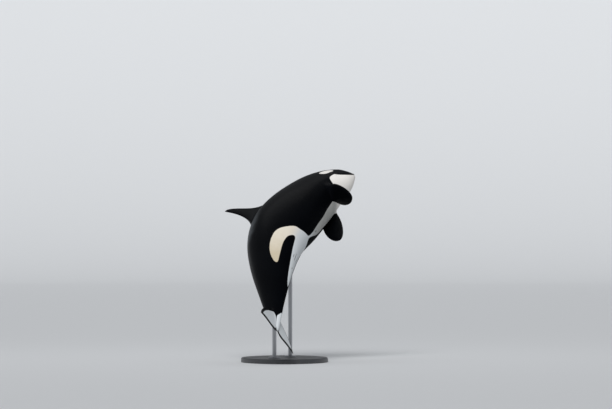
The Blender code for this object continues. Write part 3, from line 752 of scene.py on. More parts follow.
def flipper_axes(sign, setting):
    """A flipper's root and its tailward, outward and across axes from its sweep, drop and pitch."""
    sweep, drop, pitch = np.radians(setting)
    point, headward, dorsal, right = frame_at(FLIPPER_STATION)
    side, up = section_point(np.array(FLIPPER_STATION), np.radians(FLIPPER_ANGLE))
    right = right * sign
    origin = point + side * right + up * dorsal
    out = np.cos(drop) * right - np.sin(drop) * dorsal
    span = np.cos(sweep) * out - np.sin(sweep) * headward
    level = -np.sin(sweep) * out - np.cos(sweep) * headward
    normal = np.cross(level, span)
    if normal @ dorsal < 0:
        normal = -normal
    tailward = np.cos(pitch) * level + np.sin(pitch) * normal
    across = np.cos(pitch) * normal - np.sin(pitch) * level
    return origin, tailward, span, across


def dorsal_axes():
    point, headward, dorsal, right = frame_at(DORSAL_STATION)
    height = section_at(np.array(DORSAL_STATION))[1]
    return point + dorsal * (height - DORSAL_SUNK), -headward, dorsal, right


def fluke_axes(sign):
    point, headward, dorsal, right = frame_at(FLUKE_STATION)
    return point, -headward, right * sign, dorsal


def fin_list():
    """The five fins, each with its place, shape, block on the skin and rows."""
    dorsal = (DORSAL_LEAD, DORSAL_TRAIL, DORSAL_HALF_THICKNESS, DORSAL_FLARE)
    flipper = (FLIPPER_LEAD, FLIPPER_TRAIL, FLIPPER_HALF_THICKNESS, FLIPPER_FLARE)
    fluke = (FLUKE_LEAD, FLUKE_TRAIL, FLUKE_HALF_THICKNESS, FLUKE_FLARE)
    return [
        Fin("dorsal", dorsal_axes(), *dorsal, *DORSAL_BLOCK, *DORSAL_ROWS),
        Fin("flipper", flipper_axes(1, RIGHT_FLIPPER_SET), *flipper, *RIGHT_FLIPPER_BLOCK, *FLIPPER_ROWS),
        Fin("flipper", flipper_axes(-1, LEFT_FLIPPER_SET), *flipper, *LEFT_FLIPPER_BLOCK, *FLIPPER_ROWS),
        Fin("fluke", fluke_axes(1), *fluke, *RIGHT_FLUKE_BLOCK, *FLUKE_ROWS),
        Fin("fluke", fluke_axes(-1), *fluke, *LEFT_FLUKE_BLOCK, *FLUKE_ROWS),
    ]


def turned_between(start, end, share):
    """Unit vectors part of the way from one direction to another, along the arc between them."""
    arc = np.arccos(np.clip((start * end).sum(-1, keepdims=True), -1, 1))
    return (np.sin((1 - share) * arc) * start + np.sin(share * arc) * end) / np.sin(arc)


def eye_folds(turn, outside, upper, lower):
    """The folds' share of depth: Gaussian grooves round the lids, and fine fans at the corners."""
    corner = smooth_step(*LID_CORNERS, np.abs(np.cos(turn))) * (1 + np.sin(CORNER_FOLD_COUNT * turn))
    depth = 0
    for folds, strength in ((UPPER_FOLDS, upper), (LOWER_FOLDS, lower), (CORNER_FOLDS, corner)):
        for place, width, share in folds:
            depth = depth + share * strength * bump(outside - place, width)
    return depth


def grow_lids(sign, at, angle, look):
    """Rows from a loop on the skin in to an eye's lids and behind the eye, the last point, and their places.

    The outer rows lie on the skin raised by the lids' swelling and folds; the margin is a half circle as
    thick as the lid; the socket's rows follow the eye's sphere round to its rear.
    """
    middle, outward, _, _ = eye_frame(sign)
    ahead, above = eye_place(at, angle)
    turn = np.arctan2(above / np.abs(above).max(), ahead / np.abs(ahead).max())
    rim_ahead = EYE_OPENING[0] * np.cos(turn)
    rim_above = EYE_OPENING[1] * np.sign(np.sin(turn)) * np.abs(np.sin(turn)) ** OPENING_POWER
    share = np.sin(np.linspace(0, np.pi / 2, LID_ROWS + 1))[1:, None]
    row_ahead = ahead + (rim_ahead - ahead) * share
    row_above = above + (rim_above - above) * share
    row_at = EYE_STATION - row_ahead / LENGTH
    row_angle = sign * (np.radians(EYE_ANGLE) - row_above / section_at(row_at)[0])
    bare, normal = skin_point(row_at, row_angle), skin_normal(row_at, row_angle)

    start = bare[-1] - middle
    along = (start * normal[-1]).sum(-1)
    rim_height = np.sqrt(along**2 - (start**2).sum(-1) + (EYE_RADIUS + LID_THICKNESS) ** 2) - along
    outside = np.hypot(row_ahead - rim_ahead, row_above - rim_above)
    upper, lower = (smooth_step(*LID_HALVES, side * np.sin(turn)) for side in (1, -1))
    kept = skin_relief(row_at, row_angle, look)
    place, width = LID_SWELLING
    swelling = look.lid_height * bump(outside - place, width) * (upper + LOWER_LID_SHARE * lower)
    swell = (rim_height - kept[-1]) * np.exp(-((outside / LID_REACH) ** LID_REACH_POWER))
    swell = swell + swelling * share - look.fold_depth * eye_folds(turn, outside, upper, lower)
    rows = bare + normal * (kept + swell * smooth_step(0, LID_EASING, share))[..., None]
    rows[-1] = bare[-1] + normal[-1] * rim_height[:, None]

    rim = unit(rows[-1] - middle)
    radius = EYE_RADIUS + SOCKET_GAP
    rounding = np.linspace(0, np.pi, MARGIN_ROWS + 1)[1:, None, None]
    bulge = MARGIN_BULGE * LID_THICKNESS / EYE_RADIUS * np.sin(rounding)
    margin = turned_between(rim, np.broadcast_to(outward, rim.shape), bulge)
    margin = margin * (radius + (LID_THICKNESS - SOCKET_GAP) * (1 + np.cos(rounding)) / 2)
    behind = np.linspace(0, 1, SOCKET_ROWS + 2)[1:-1, None, None]
    socket = turned_between(rim, np.broadcast_to(-outward, rim.shape), behind) * radius
    hidden = (MARGIN_ROWS + SOCKET_ROWS, 1)
    rows = np.concatenate([rows, middle + margin, middle + socket])
    places = [np.concatenate([value, np.tile(value[-1], hidden)]) for value in (row_at, row_angle)]
    return rows, middle - outward * radius, *places


def grow_blowhole(at, angle, look):
    """Rows from a loop on the skin in to the blowhole, the last point, and their places.

    The rows are circles on the skin's relief that lie close together at the slit.
    """
    ahead, aside = (BLOWHOLE_STATION - at) * LENGTH, angle * section_at(at)[0]
    turn = np.arctan2(aside, ahead)
    slit = BLOWHOLE_RADIUS + np.linspace(SLIT_REACH, -SLIT_REACH, SLIT_ROWS) * BLOWHOLE_SLIT
    ring = np.concatenate([slit, np.linspace(slit[-1], 0, PLUG_ROWS + 2)[1:-1]])[:, None]
    share = np.linspace(0, 1, COLLAR_ROWS + 2)[1:-1, None]

    def inward(start, rings):
        """One coordinate of the rows: from the loop to the first ring, over the rings, and at the middle."""
        return np.concatenate([start + (rings[0] - start) * share, rings, np.zeros((1, len(start)))])

    row_at = BLOWHOLE_STATION - inward(ahead, ring * np.cos(turn)) / LENGTH
    row_angle = inward(aside, ring * np.sin(turn)) / section_at(row_at)[0]
    relief = skin_relief(row_at, row_angle, look)
    rows = skin_point(row_at, row_angle) + skin_normal(row_at, row_angle) * relief[..., None]
    return rows[:-1], rows[-1, 0], row_at[:-1], row_angle[:-1]


def relax(points, quads, triangles, weight):
    """Draws each point towards the mean of its neighbours, as far as its weight says, some rounds over."""
    first = np.concatenate([quads.ravel(), triangles.ravel()])
    second = np.concatenate([np.roll(quads, -1, axis=1).ravel(), np.roll(triangles, -1, axis=1).ravel()])
    count = np.bincount(first, minlength=len(points)) + np.bincount(second, minlength=len(points))
    moved = points.copy()
    for _ in range(RELAX_ROUNDS):
        for axis in range(3):
            total = np.bincount(first, moved[second, axis], len(points))
            total += np.bincount(second, moved[first, axis], len(points))
            mean = total / np.maximum(count, 1)
            moved[:, axis] += weight * (mean - moved[:, axis]) * (count > 0)
    return moved


def strips(number):
    """The quads between the rows of a grid of point numbers that closes round."""
    after = np.roll(number, -1, axis=1)
    return np.stack([number[:-1], number[1:], after[1:], after[:-1]], -1)


def fan(pole, ring):
    """The triangles from a pole to a closed ring of point numbers."""
    return np.stack([np.full(len(ring), pole), ring, np.roll(ring, -1)], -1)


def make_mesh(name, points, quads, triangles):
    """A mesh from arrays of points, quads and triangles."""
    mesh = bpy.data.meshes.new(name)
    mesh.from_pydata(points.tolist(), [], quads.tolist() + triangles.tolist())
    return mesh


def keep_numbers(mesh, numbers):
    """Keeps a number for each point under each name."""
    for name, values in numbers.items():
        field = mesh.attributes.new(name, "FLOAT", "POINT")
        field.data.foreach_set("value", np.asarray(values, np.float32))


def close_mesh(mesh):
    """Drops points without faces and turns the faces outward."""
    work = bmesh.new()
    work.from_mesh(mesh)
    bmesh.ops.delete(work, geom=[vert for vert in work.verts if not vert.link_faces], context="VERTS")
    bmesh.ops.recalc_face_normals(work, faces=work.faces)
    if work.calc_volume(signed=True) < 0:
        bmesh.ops.reverse_faces(work, faces=work.faces)
    work.to_mesh(mesh)
    work.free()


class Skin:
    """The skin in the making: a grid of points round the body, with holes from which fins and lids grow."""

    def __init__(self, look):
        self.stations = row_stations()
        self.angles = column_angles(self.stations)
        at = np.broadcast_to(self.stations[:, None], self.angles.shape)
        tip_share = smooth_step(SNOUT_TIP, 0.0, at)[..., None]
        normals = skin_normal(at, self.angles) * (1 - tip_share) + frame_at(0.0)[1] * tip_share
        relief = skin_relief(at, self.angles, look)[..., None]
        self.points = (skin_point(at, self.angles) + normals * relief).reshape(-1, 3)
        self.normals = normals.reshape(-1, 3)
        self.number = np.arange(at.size).reshape(at.shape)
        self.numbers = {name: [value.ravel()] for name, value in numbers_at(at, self.angles).items()}
        self.kept = np.ones((len(at) - 1, COLUMNS), bool)
        self.softness = np.zeros(at.shape)
        self.grown, self.weights, self.quads, self.triangles = [], [], [], []
        self.count = at.size

    def cut(self, stations, angles):
        """Opens a block between stations and degrees: its rows, its columns and the points round it."""
        rows = [int(np.argmin(np.abs(self.stations - value))) for value in stations]
        ring = np.degrees(self.angles[sum(rows) // 2])
        columns = [int(np.argmin(np.abs(ring - value))) for value in angles]
        self.kept[slice(*rows), slice(*columns)] = False
        (top, bottom), (left, right) = rows, columns
        down, over = np.arange(top, bottom), np.arange(left, right)
        round_rows = [np.full(len(over), top), down, np.full(len(over), bottom), down[::-1] + 1]
        round_columns = [over, np.full(len(down), right), over[::-1] + 1, np.full(len(down), left)]
        return rows, columns, self.number[np.concatenate(round_rows), np.concatenate(round_columns)]

    def soften(self, rows, columns):
        """Lets the skin move round a block: freely at its edge and not at all some rings away."""
        row, column = np.ogrid[: len(self.stations), :COLUMNS]
        beyond_rows = np.maximum(rows[0] - row, row - rows[1])
        beyond_columns = np.maximum(columns[0] - column, column - columns[1])
        rings = np.clip(np.maximum(beyond_rows, beyond_columns), 0, SOFT_RINGS)
        self.softness = np.maximum(self.softness, 1 - rings / SOFT_RINGS)

    def join(self, loop, grown, tip, weight, values):
        """Adds rows of points that grow from a loop on the skin and close at a tip."""
        high, wide = grown.shape[:2]
        ladder = np.concatenate([loop[None, :], self.count + np.arange(high * wide).reshape(high, wide)])
        self.quads.append(strips(ladder).reshape(-1, 4))
        self.triangles.append(fan(self.count + high * wide, ladder[-1]))
        self.grown.extend([grown.reshape(-1, 3), tip[None, :]])
        self.weights.extend([np.broadcast_to(weight, (high, wide)).ravel(), [0]])
        for name, value in values.items():
            value = np.broadcast_to(value, (high, wide)).ravel()
            self.numbers[name].extend([value, [value[-wide:].mean()]])
        self.count += high * wide + 1

    def add_fin(self, fin):
        """Grows a fin, whose kept numbers pass over the fillet from the skin's to its own."""
        rows, columns, loop = self.cut(fin.stations, fin.angles)
        self.soften(rows, columns)
        grown, tip, turn, span, fillet_share = fin.grow(self.points[loop], self.normals[loop])
        weight = smooth_step(FILLET_ROWS + SOFT_BLADE_ROWS, FIRM_ROWS, np.arange(len(grown)))
        fade = smooth_step(0, 1, fillet_share)[:, None]
        white = fin.white_depth(turn, span) if fin.kind == "fluke" else DARK_DEPTH
        values = {name: value[0][loop] for name, value in self.numbers.items()}
        for name, own in (("white_depth", white), ("saddle_depth", DARK_DEPTH), ("belly", SIDE_BELLY)):
            values[name] = values[name] * (1 - fade) + own * fade
        values["crease_shade"] = 0.0
        self.join(loop, grown, tip, weight[:, None], values)

    def open_round(self, station, turn, block):
        """Opens a block round a place: the points round it and their stations and angles."""
        long, wide = block
        loop = self.cut((station - long, station + long), (turn - wide, turn + wide))[2]
        return loop, self.numbers["station"][0][loop], self.angles.ravel()[loop]

    def add_blowhole(self, look):
        loop, *place = self.open_round(BLOWHOLE_STATION, 0.0, BLOWHOLE_BLOCK)
        grown, tip, at, angle = grow_blowhole(*place, look)
        self.join(loop, grown, tip, 0.0, numbers_at(at, angle))

    def add_lids(self, sign, look):
        """Grows an eye's lids, with painted shade from the margin's inner rows on."""
        loop, *place = self.open_round(EYE_STATION, sign * EYE_ANGLE, LID_BLOCK)
        grown, tip, at, angle = grow_lids(sign, *place, look)
        values = numbers_at(at, angle)
        values["crease_shade"] = np.arange(len(grown))[:, None] >= LID_ROWS + UNSHADED_MARGIN_ROWS
        self.join(loop, grown, tip, 0.0, values)

    def mesh(self):
        """The closed mesh, smoothed round the fins' roots, with the kept numbers on its points."""
        body = strips(self.number)[1:-1][self.kept[1:-1]]
        poles = [fan(self.number[0, 0], self.number[1]), fan(self.number[-1, 0], self.number[-2])]
        quads, triangles = np.concatenate([*self.quads, body]), np.concatenate([*self.triangles, *poles])
        weight = np.concatenate([self.softness.ravel(), *self.weights])
        points = relax(np.concatenate([self.points, *self.grown]), quads, triangles, weight)
        mesh = make_mesh("orca_skin", points, quads, triangles)
        keep_numbers(mesh, {name: np.concatenate(values) for name, values in self.numbers.items()})
        close_mesh(mesh)
        return mesh


def build_skin(look):
    """The whole skin of body, head and fins as one closed mesh."""
    skin = Skin(look)
    for fin in fin_list():
        skin.add_fin(fin)
    skin.add_blowhole(look)
    for sign in (1, -1):
        skin.add_lids(sign, look)
    return skin.mesh()


def eye_mesh(sign, name):
    """A sphere of the eye's radius about its middle, which keeps each point's angle from the eye's front."""
    middle, normal, headward, upward = eye_frame(sign)
    polar = np.linspace(0, np.pi, EYE_ROWS + 1)[:, None] + np.zeros(EYE_COLUMNS)
    round_it = (np.arange(EYE_COLUMNS) * 2 * np.pi / EYE_COLUMNS)[:, None]
    ring = np.cos(round_it) * headward + np.sin(round_it) * upward
    shape = np.cos(polar)[..., None] * normal + np.sin(polar)[..., None] * ring
    number = np.arange(polar.size).reshape(polar.shape)
    quads = strips(number)[1:-1].reshape(-1, 4)
    caps = np.concatenate([fan(number[0, 0], number[1]), fan(number[-1, 0], number[-2])])
    mesh = make_mesh(name, (middle + EYE_RADIUS * shape).reshape(-1, 3), quads, caps)
    keep_numbers(mesh, {"from_front": polar.ravel()})
    close_mesh(mesh)
    return mesh


def stage_mesh():
    """A round floor that sweeps up all round: a disc and an arc of a circle, turned about the middle."""
    turn = np.radians(np.linspace(0, SWEEP_TURN, SWEEP_STEPS + 1))
    flat = np.linspace(0, FLOOR_RADIUS, FLOOR_STEPS + 1)[1:-1]
    reach = np.concatenate([flat, FLOOR_RADIUS + SWEEP_RADIUS * np.sin(turn)])[:, None]
    rise = np.concatenate([0 * flat, SWEEP_RADIUS * (1 - np.cos(turn))])[:, None]
    round_it = np.arange(STAGE_COLUMNS) * 2 * np.pi / STAGE_COLUMNS
    rings = np.stack([reach * np.cos(round_it), reach * np.sin(round_it), rise + 0 * round_it], -1)
    number = 1 + np.arange(rings.size // 3).reshape(rings.shape[:2])
    points = np.concatenate([np.zeros((1, 3)), rings.reshape(-1, 3)])
    return make_mesh("stage_floor", points, strips(number).reshape(-1, 4), fan(0, number[0]))


class Finish:
    """A finish in the making, whose methods add shader nodes labelled for their task."""

    def __init__(self, name, roughness, metallic=0.0):
        self.material = bpy.data.materials.new(name)
        self.material.use_nodes = True
        self.tree = self.material.node_tree
        self.shader = self.tree.nodes["Principled BSDF"]
        self.set("Roughness", roughness)
        self.set("Metallic", metallic)
        self.place = self.add("TexCoord", "place", {}).outputs["Object"]

    def plug(self, socket, value):
        """Links another node's output to a socket, or sets the socket to a number, a vector or a colour."""
        if isinstance(value, bpy.types.NodeSocket):
            self.tree.links.new(value, socket)
        else:
            socket.default_value = (*value, 1) if socket.type == "RGBA" else value

    def set(self, name, value):
        self.plug(self.shader.inputs[name], value)

    def add(self, kind, label, inputs, **settings):
        """A shader node with its settings, and its inputs by name or number."""
        made = self.tree.nodes.new("ShaderNode" + kind)
        made.label = label
        for name, value in settings.items():
            setattr(made, name, value)
        for name, value in inputs.items():
            self.plug(made.inputs[name], value)
        return made

    def math(self, operation, label, *values):
        return self.add("Math", label, dict(enumerate(values)), operation=operation).outputs[0]

    def kept(self, name):
        """A number kept on the mesh's points."""
        return self.add("Attribute", name, {}, attribute_name=name).outputs["Fac"]

    def fade(self, label, value, low, high):
        """0 at the low value and 1 at the high one, eased at both."""
        inputs = {"Value": value, "From Min": low, "From Max": high}
        return self.add("MapRange", label, inputs, interpolation_type="SMOOTHSTEP").outputs["Result"]

    def blend(self, label, share, first, second):
        """The first colour where the share is 0 and the second where it is 1."""
        return self.add("Mix", label, {0: share, 6: first, 7: second}, data_type="RGBA").outputs[2]

    def clouds(self, label, scale, detail, stretch=None):
        """Clouds of noise in the model's own metres."""
        place = self.place
        if stretch:
            place = self.add("Mapping", label + " stretch", {"Vector": place, "Scale": stretch}).outputs[0]
        inputs = {"Vector": place, "Scale": scale, "Detail": detail}
        return self.add("TexNoise", label, inputs).outputs["Fac"]

    def rise(self, *bumps):
        """Lays bumps over each other: each one's label, height and depth in metres."""
        below = {}
        for label, height, depth in bumps:
            inputs = {"Height": height, "Strength": 1.0, "Distance": depth}
            below = {"Normal": self.add("Bump", label, inputs | below).outputs[0]}
        self.set("Normal", below["Normal"])


def black_skin(skin, look):
    """Black with faint clouds, under a grey saddle that ends in streaks."""
    black = skin.blend("black", skin.clouds("black clouds", *BLACK_CLOUDS), look.black, look.black_light)
    streaks = skin.clouds("saddle streaks", *SADDLE_CLOUDS)
    depth = skin.math("MULTIPLY_ADD", "saddle depth", streaks, SADDLE_WANDER, skin.kept("saddle_depth"))
    share = skin.fade("saddle edge", depth, *SADDLE_FADE)
    share = skin.math("MULTIPLY", "saddle strength", share, look.saddle_strength)
    return skin.blend("saddle", share, black, look.saddle)


def white_skin(skin, look, station, belly):
    """White from chin to chest to belly and flukes, the chest and belly greyed as painted shade, cream on the
    flank and stained towards its rear.
    """
    # Painted shade: the flank's cream passes into the belly's darker, cooler grey-white, which the flukes'
    # underside shares
    under = skin.fade("belly share", belly, *BELLY_SHADE_FROM_FLANK)
    flukes = skin.fade("fluke share", station, *FLUKES_FROM_TAIL)
    under = skin.math("MAXIMUM", "belly and flukes", under, flukes)
    # Painted shade: the white greys from the chin to the chest
    chest = skin.fade("chest share", station, *CHEST_SHADE_FROM_CHIN)
    front = skin.blend("chin to chest", chest, look.white_chin, look.shaded_chest_white)
    rear = skin.blend("flank to belly", under, look.white_flank, look.shaded_belly_white)
    white = skin.blend("front to rear", skin.fade("rear share", station, *REAR_FROM_CHEST), front, rear)
    clouds = skin.clouds("stain clouds", *STAIN_CLOUDS)
    place = skin.math("MULTIPLY_ADD", "stain place", clouds, STAIN_WANDER, station)
    flank = skin.math("SUBTRACT", "flank share", 1.0, under)
    stain = skin.fade("stain rearward", place, *STAIN_FADE)
    stain = skin.math("MULTIPLY", "stain on the flank", stain, flank)
    stain = skin.math("MULTIPLY", "stain strength", stain, look.stain)
    return skin.blend("stained white", stain, white, look.white_stain)


def chest_wrinkles(skin, look, station, belly):
    """Waves across the chest, a sine of the station that wanders, and the shade in their troughs."""
    front = skin.fade("chest front", station, *WRINKLES_FRONT)
    rear = skin.fade("chest rear", station, *WRINKLES_REAR)
    middle = skin.fade("near the belly line", belly, *WRINKLES_SIDE)
    here = skin.math("MULTIPLY", "wrinkles here", skin.math("MULTIPLY", "chest", front, rear), middle)
    wander = skin.clouds("wrinkle wander", *WRINKLE_CLOUDS)
    phase = skin.math("MULTIPLY", "wrinkle phase", station, LENGTH * 2 * np.pi / look.wrinkle_step)
    phase = skin.math("MULTIPLY_ADD", "wandering phase", wander, WRINKLES_WANDER, phase)
    waves = skin.math("MULTIPLY", "wrinkle height", skin.math("SINE", "wrinkle waves", phase), here)
    shade = skin.fade("wrinkle shade", waves, *WRINKLES_SHADE)
    shade = skin.math("MULTIPLY", "wrinkle shade strength", shade, here)
    return waves, skin.math("MULTIPLY", "faint wrinkle shade", shade, look.wrinkle_shade)


def skin_finish(look):
    """Wet orca skin: black and white parted by the kept distances, with painted shade in the folds and a
    fading gloss.
    """
    skin = Finish("orca_skin", look.roughness)
    station, belly = skin.kept("station"), skin.kept("belly")
    rag = skin.clouds("ragged edge", *EDGE_CLOUDS)
    rag = skin.math("MULTIPLY_ADD", "edge wander", rag, EDGE_WANDER, -EDGE_WANDER / 2)
    depth = skin.math("ADD", "white depth", skin.kept("white_depth"), rag)
    white_share = skin.fade("white", depth, -look.edge_softness, look.edge_softness)
    waves, shade = chest_wrinkles(skin, look, station, belly)
    white = skin.blend("shaded wrinkles", shade, white_skin(skin, look, station, belly), look.crease_shade)
    colour = skin.blend("markings", white_share, black_skin(skin, look), white)
    # Painted shade in the mouth's crease, the slits, the blowhole and round the eye
    folds = skin.math("MULTIPLY", "fold strength", skin.kept("crease_shade"), CREASE_SHADE_STRENGTH)
    skin.set("Base Color", skin.blend("folds", folds, colour, look.crease_shade))

    underside = skin.fade("underside", belly, *DULL_UNDERSIDE)
    gloss = skin.math("MULTIPLY_ADD", "gloss", underside, -DULLNESS, 1.0)
    skin.set("Specular IOR Level", skin.math("MULTIPLY", "skin gloss", gloss, look.specular))
    skin.set("Coat Weight", skin.math("MULTIPLY", "wet gloss", gloss, look.wetness))
    skin.set("Coat Roughness", look.wet_roughness)
    skin.rise(
        ("wrinkles", waves, look.wrinkle_depth),
        ("grain", skin.clouds("skin grain", *GRAIN_CLOUDS), look.grain_depth),
        ("ripples", skin.clouds("slow ripples", *RIPPLE_CLOUDS), RIPPLE_DEPTH),
    )
    return skin.material


def eye_finish(colours):
    """A dark wet eye: a brown iris ring round a black pupil, by the kept angle from the eye's front."""
    eye = Finish("orca_eye", EYE_ROUGHNESS)
    from_front = eye.kept("from_front")
    iris = eye.blend("pupil edge", eye.fade("pupil", from_front, *PUPIL_EDGE), colours.pupil, colours.iris)
    whole = eye.blend("iris edge", eye.fade("iris", from_front, *IRIS_EDGE), iris, colours.eye_white)
    flecks = eye.math("MULTIPLY", "fleck strength", eye.clouds("iris flecks", *FLECK_CLOUDS), FLECK_STRENGTH)
    eye.set("Base Color", eye.blend("flecks", flecks, whole, colours.fleck))
    eye.set("Coat Weight", 1.0)
    eye.set("Coat Roughness", EYE_FILM_ROUGHNESS)
    return eye.material


def steel_finish(colours):
    """Brushed steel: fine upright streaks in its roughness and surface."""
    least, spread = STEEL_ROUGHNESS
    steel = Finish("brushed_steel", least, 1.0)
    streaks = steel.clouds("brushing", *BRUSHING)
    steel.set("Roughness", steel.math("MULTIPLY_ADD", "streaked roughness", streaks, spread, least))
    steel.set("Base Color", colours.steel)
    steel.rise(("brushed", streaks, STEEL_RISE))
    return steel.material


def base_finish(colours):
    """Dark satin paint over board: a faint grain under it, and a slight mottle in its gloss."""
    least, spread = PAINT_ROUGHNESS
    paint = Finish("base_paint", least)
    grain = paint.clouds("board grain", *BOARD_GRAIN)
    paint.set("Base Color", paint.blend("paint", grain, colours.paint, colours.paint_light))
    mottle = paint.clouds("gloss mottle", *GLOSS_CLOUDS)
    paint.set("Roughness", paint.math("MULTIPLY_ADD", "satin", mottle, spread, least))
    paint.rise(("grain rise", grain, PAINT_RISE))
    return paint.material


def metres(name, description, default):
    """A length that a user can change."""
    return FloatProperty(name=name, description=description, default=default, unit="LENGTH")


def factor(name, description, default):
    """A share or a strength that a user can change."""
    return FloatProperty(name=name, description=description, default=default, subtype="FACTOR")


def tint(name, description, default):
    """A colour that a user can change."""
    return FloatVectorProperty(name=name, description=description, default=default, subtype="COLOR")


def link_piece(name, mesh, finish):
    """Puts a piece into the scene with its finish, shaded smooth."""
    piece = bpy.data.objects.new(name, mesh)
    bpy.context.scene.collection.objects.link(piece)
    mesh.materials.append(finish)
    mesh.shade_smooth()
    return piece


def add_light(name, kind, strength, place, target):
    """A light at a place that shines towards a target."""
    light = bpy.data.lights.new(name, kind)
    light.energy = strength
    lamp = bpy.data.objects.new(name, light)
    bpy.context.scene.collection.objects.link(lamp)
    lamp.location = place
    lamp.rotation_euler = (Vector(target) - Vector(place)).to_track_quat("-Z", "Y").to_euler()
    return lamp


def add_camera(lens):
    """A level camera far back along -Y, whose shift sets the row that lies at its own height."""
    camera = bpy.data.cameras.new("camera")
    camera.lens = lens
    camera.sensor_width = SENSOR_WIDTH
    camera.shift_y = (LEVEL_PIXEL - PICTURE[1] / 2) / PICTURE[0]
    camera.clip_end = CLIP_END
    distance = PIXEL * PICTURE[0] * lens / SENSOR_WIDTH
    x = SNOUT[0] + (PICTURE[0] / 2 - SNOUT_PIXEL[0]) * PIXEL
    z = SNOUT[2] - (LEVEL_PIXEL - SNOUT_PIXEL[1]) * PIXEL
    stand_in = bpy.data.objects.new("camera", camera)
    bpy.context.scene.collection.objects.link(stand_in)
    stand_in.location = (x, PICTURE_DEPTH - distance, z)
    stand_in.rotation_euler = (np.pi / 2, 0, 0)
    return stand_in


class OrcaSkinLook(bpy.types.PropertyGroup):
    """The skin's relief and colours."""

    lip_height: metres("Lip height", "How far the lips stand out", 0.006)
    crease_depth: metres("Mouth crease", "Depth of the line of the mouth", 0.014)
    lid_height: metres("Lid height", "How far the lids swell round the eye", 0.003)
    fold_depth: metres("Lid folds", "Depth of the folds round the eye", 0.0022)
    unevenness: metres("Unevenness", "Height of the slow swellings", 0.0025)
    edge_softness: metres("Marking edge", "Half width of black's edge to white", 0.006)
    wrinkle_step: metres("Wrinkle step", "Distance between the chest's wrinkles", 0.034)
    wrinkle_depth: metres("Wrinkle depth", "Depth of the chest's wrinkles", 0.003)
    wrinkle_shade: factor("Wrinkle shade", "How dark the wrinkles' troughs are", 0.35)
    grain_depth: metres("Grain depth", "Depth of the skin's fine grain", 0.0006)
    roughness: factor("Roughness", "Roughness under the wet film", 0.42)
    specular: factor("Specular", "Strength of the skin's own gloss", 0.065)
    wetness: factor("Wetness", "Weight of the wet film", 0.045)
    wet_roughness: factor("Film roughness", "Roughness of the wet film", 0.16)
    saddle_strength: factor("Saddle strength", "How far the saddle turns grey", 0.6)
    stain: factor("Stain", "Strength of the stain on the flank's white", 0.8)
    black: tint("Black", "Darkest skin", (0.0010, 0.0012, 0.0017))
    black_light: tint("Lighter black", "Lightest black", (0.0024, 0.0029, 0.0040))
    saddle: tint("Saddle", "Grey behind the dorsal fin", (0.10, 0.11, 0.12))
    white_chin: tint("Chin white", "Chin and eye patch", (0.80, 0.775, 0.74))
    # The chest's grey is painted shade on its white
    shaded_chest_white: tint("Chest white", "The chest's stripe", (0.50, 0.50, 0.48))
    white_flank: tint("Flank white", "Cream of the lobe", (0.70, 0.65, 0.565))
    # The belly's darker, cooler grey-white is painted shade
    shaded_belly_white: tint("Belly white", "Cool white of the belly", (0.62, 0.65, 0.67))
    white_stain: tint("Stain", "Yellow stain on the white", (0.47, 0.40, 0.27))
    # Painted shade for the folds and the wrinkles' troughs
    crease_shade: tint("Fold", "Dark of the folds", (0.02, 0.018, 0.018))


class OrcaFittings(bpy.types.PropertyGroup):
    """The colours of the eyes and the stand."""

    pupil: tint("Pupil", "Black of the pupil", (0.001, 0.001, 0.0015))
    iris: tint("Iris", "Brown ring of the iris", (0.022, 0.010, 0.005))
    eye_white: tint("Eye", "Dark of the eye round the iris", (0.012, 0.010, 0.010))
    fleck: tint("Flecks", "Flecks in the iris", (0.04, 0.02, 0.009))
    steel: tint("Steel", "Rods, feet and pads", (0.46, 0.47, 0.49))
    paint: tint("Paint", "Darkest of the base", (0.030, 0.032, 0.036))
    paint_light: tint("Lighter paint", "Lightest of the base", (0.052, 0.054, 0.058))


class OrcaStage(bpy.types.PropertyGroup):
    """The floor, lights and camera."""

    floor: tint("Floor", "Floor and backdrop", (0.69, 0.705, 0.72))
    sky: tint("Surroundings", "Even light all round", (0.92, 0.95, 1.0))
    world: FloatProperty(name="Surrounding light", description="Strength of the even light", default=0.25)
    key: FloatProperty(
        name="Overhead light", description="Power of the overhead soft light", default=150.0, unit="POWER"
    )
    fill: FloatProperty(name="Front light", description="Strength of the soft light in front", default=2.6)
    lens: FloatProperty(name="Lens", description="Focal length on a 36 mm sensor, in mm", default=250.0)


class ORCA_OT_skin(bpy.types.Operator):
    """Make the skin of body, head and fins as one piece"""

    bl_idname = "orca.skin"
    bl_label = "Skin"

    def execute(self, context):
        look = context.scene.orca_skin_look
        piece = link_piece("orca_skin", build_skin(look), skin_finish(look))
        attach(piece, "root")
        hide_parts(*FLESH_NODES)
        return {"FINISHED"}


class ORCA_OT_eyes(bpy.types.Operator):
    """Make both eyes"""

    bl_idname = "orca.eyes"
    bl_label = "Eyes"

    def execute(self, context):
        finish = eye_finish(context.scene.orca_fittings)
        for sign, side in ((1, "right"), (-1, "left")):
            name = "orca_eye_" + side
            piece = link_piece(name, eye_mesh(sign, name), finish)
            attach(piece, "root")
            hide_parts("eye_" + side)
        return {"FINISHED"}


class ORCA_OT_stand(bpy.types.Operator):
    """Finish the stand's base, feet, rods and pads"""

    bl_idname = "orca.stand"
    bl_label = "Stand finishes"

    def execute(self, context):
        colours = context.scene.orca_fittings
        steel, paint = steel_finish(colours), base_finish(colours)
        for name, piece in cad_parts.items():
            if name.startswith("stand_"):
                piece.data.materials.clear()
                piece.data.materials.append(paint if name == "stand_base" else steel)
        return {"FINISHED"}


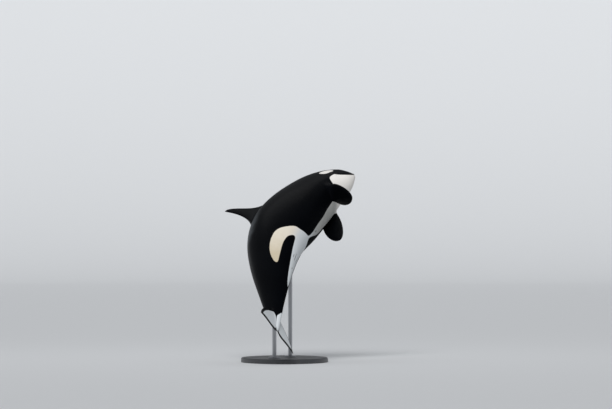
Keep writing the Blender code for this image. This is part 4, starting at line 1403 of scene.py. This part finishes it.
class ORCA_OT_stage(bpy.types.Operator):
    """Make the floor, the lights and the camera"""

    bl_idname = "orca.stage"
    bl_label = "Stage"

    def execute(self, context):
        scene, stage = context.scene, context.scene.orca_stage
        ground = Finish("stage_floor", FLOOR_ROUGHNESS)
        ground.set("Base Color", stage.floor)
        ground.set("Specular IOR Level", FLOOR_SPECULAR)
        link_piece("stage_floor", stage_mesh(), ground.material)
        scene.world = bpy.data.worlds.new("stage_world")
        scene.world.use_nodes = True
        sky = scene.world.node_tree.nodes["Background"]
        sky.inputs["Color"].default_value = (*stage.sky, 1)
        sky.inputs["Strength"].default_value = stage.world
        overhead = add_light("overhead_light", "AREA", stage.key, OVERHEAD_PLACE, OVERHEAD_TARGET)
        overhead.data.shape = "RECTANGLE"
        overhead.data.size, overhead.data.size_y = OVERHEAD_SIZE
        front = add_light("front_light", "SUN", stage.fill, FRONT_PLACE, FRONT_TARGET)
        front.data.angle = np.radians(FRONT_ANGLE)
        front.visible_glossy = False
        scene.camera = add_camera(stage.lens)
        scene.view_settings.view_transform = "Standard"
        return {"FINISHED"}


class ORCA_PT_panel(bpy.types.Panel):
    """Lists the orca's pieces in the sidebar"""

    bl_label = "Orca"
    bl_space_type = "VIEW_3D"
    bl_region_type = "UI"
    bl_category = "Orca"

    def draw(self, context):
        for operator in OPERATORS:
            self.layout.operator(operator.bl_idname)
        for name in GROUPS:
            box, group = self.layout.box(), getattr(context.scene, name)
            for value in group.__annotations__:
                box.prop(group, value)


OPERATORS = (ORCA_OT_skin, ORCA_OT_eyes, ORCA_OT_stand, ORCA_OT_stage)
GROUPS = {"orca_skin_look": OrcaSkinLook, "orca_fittings": OrcaFittings, "orca_stage": OrcaStage}
CLASSES = (*GROUPS.values(), *OPERATORS, ORCA_PT_panel)


def register():
    for made in CLASSES:
        bpy.utils.register_class(made)
    for name, group in GROUPS.items():
        setattr(bpy.types.Scene, name, PointerProperty(type=group))


def unregister():
    for name in GROUPS:
        delattr(bpy.types.Scene, name)
    for made in reversed(CLASSES):
        bpy.utils.unregister_class(made)


def main():
    register()
    bpy.ops.orca.skin()
    bpy.ops.orca.eyes()
    bpy.ops.orca.stand()
    bpy.ops.orca.stage()


if __name__ == "__main__":
    main()
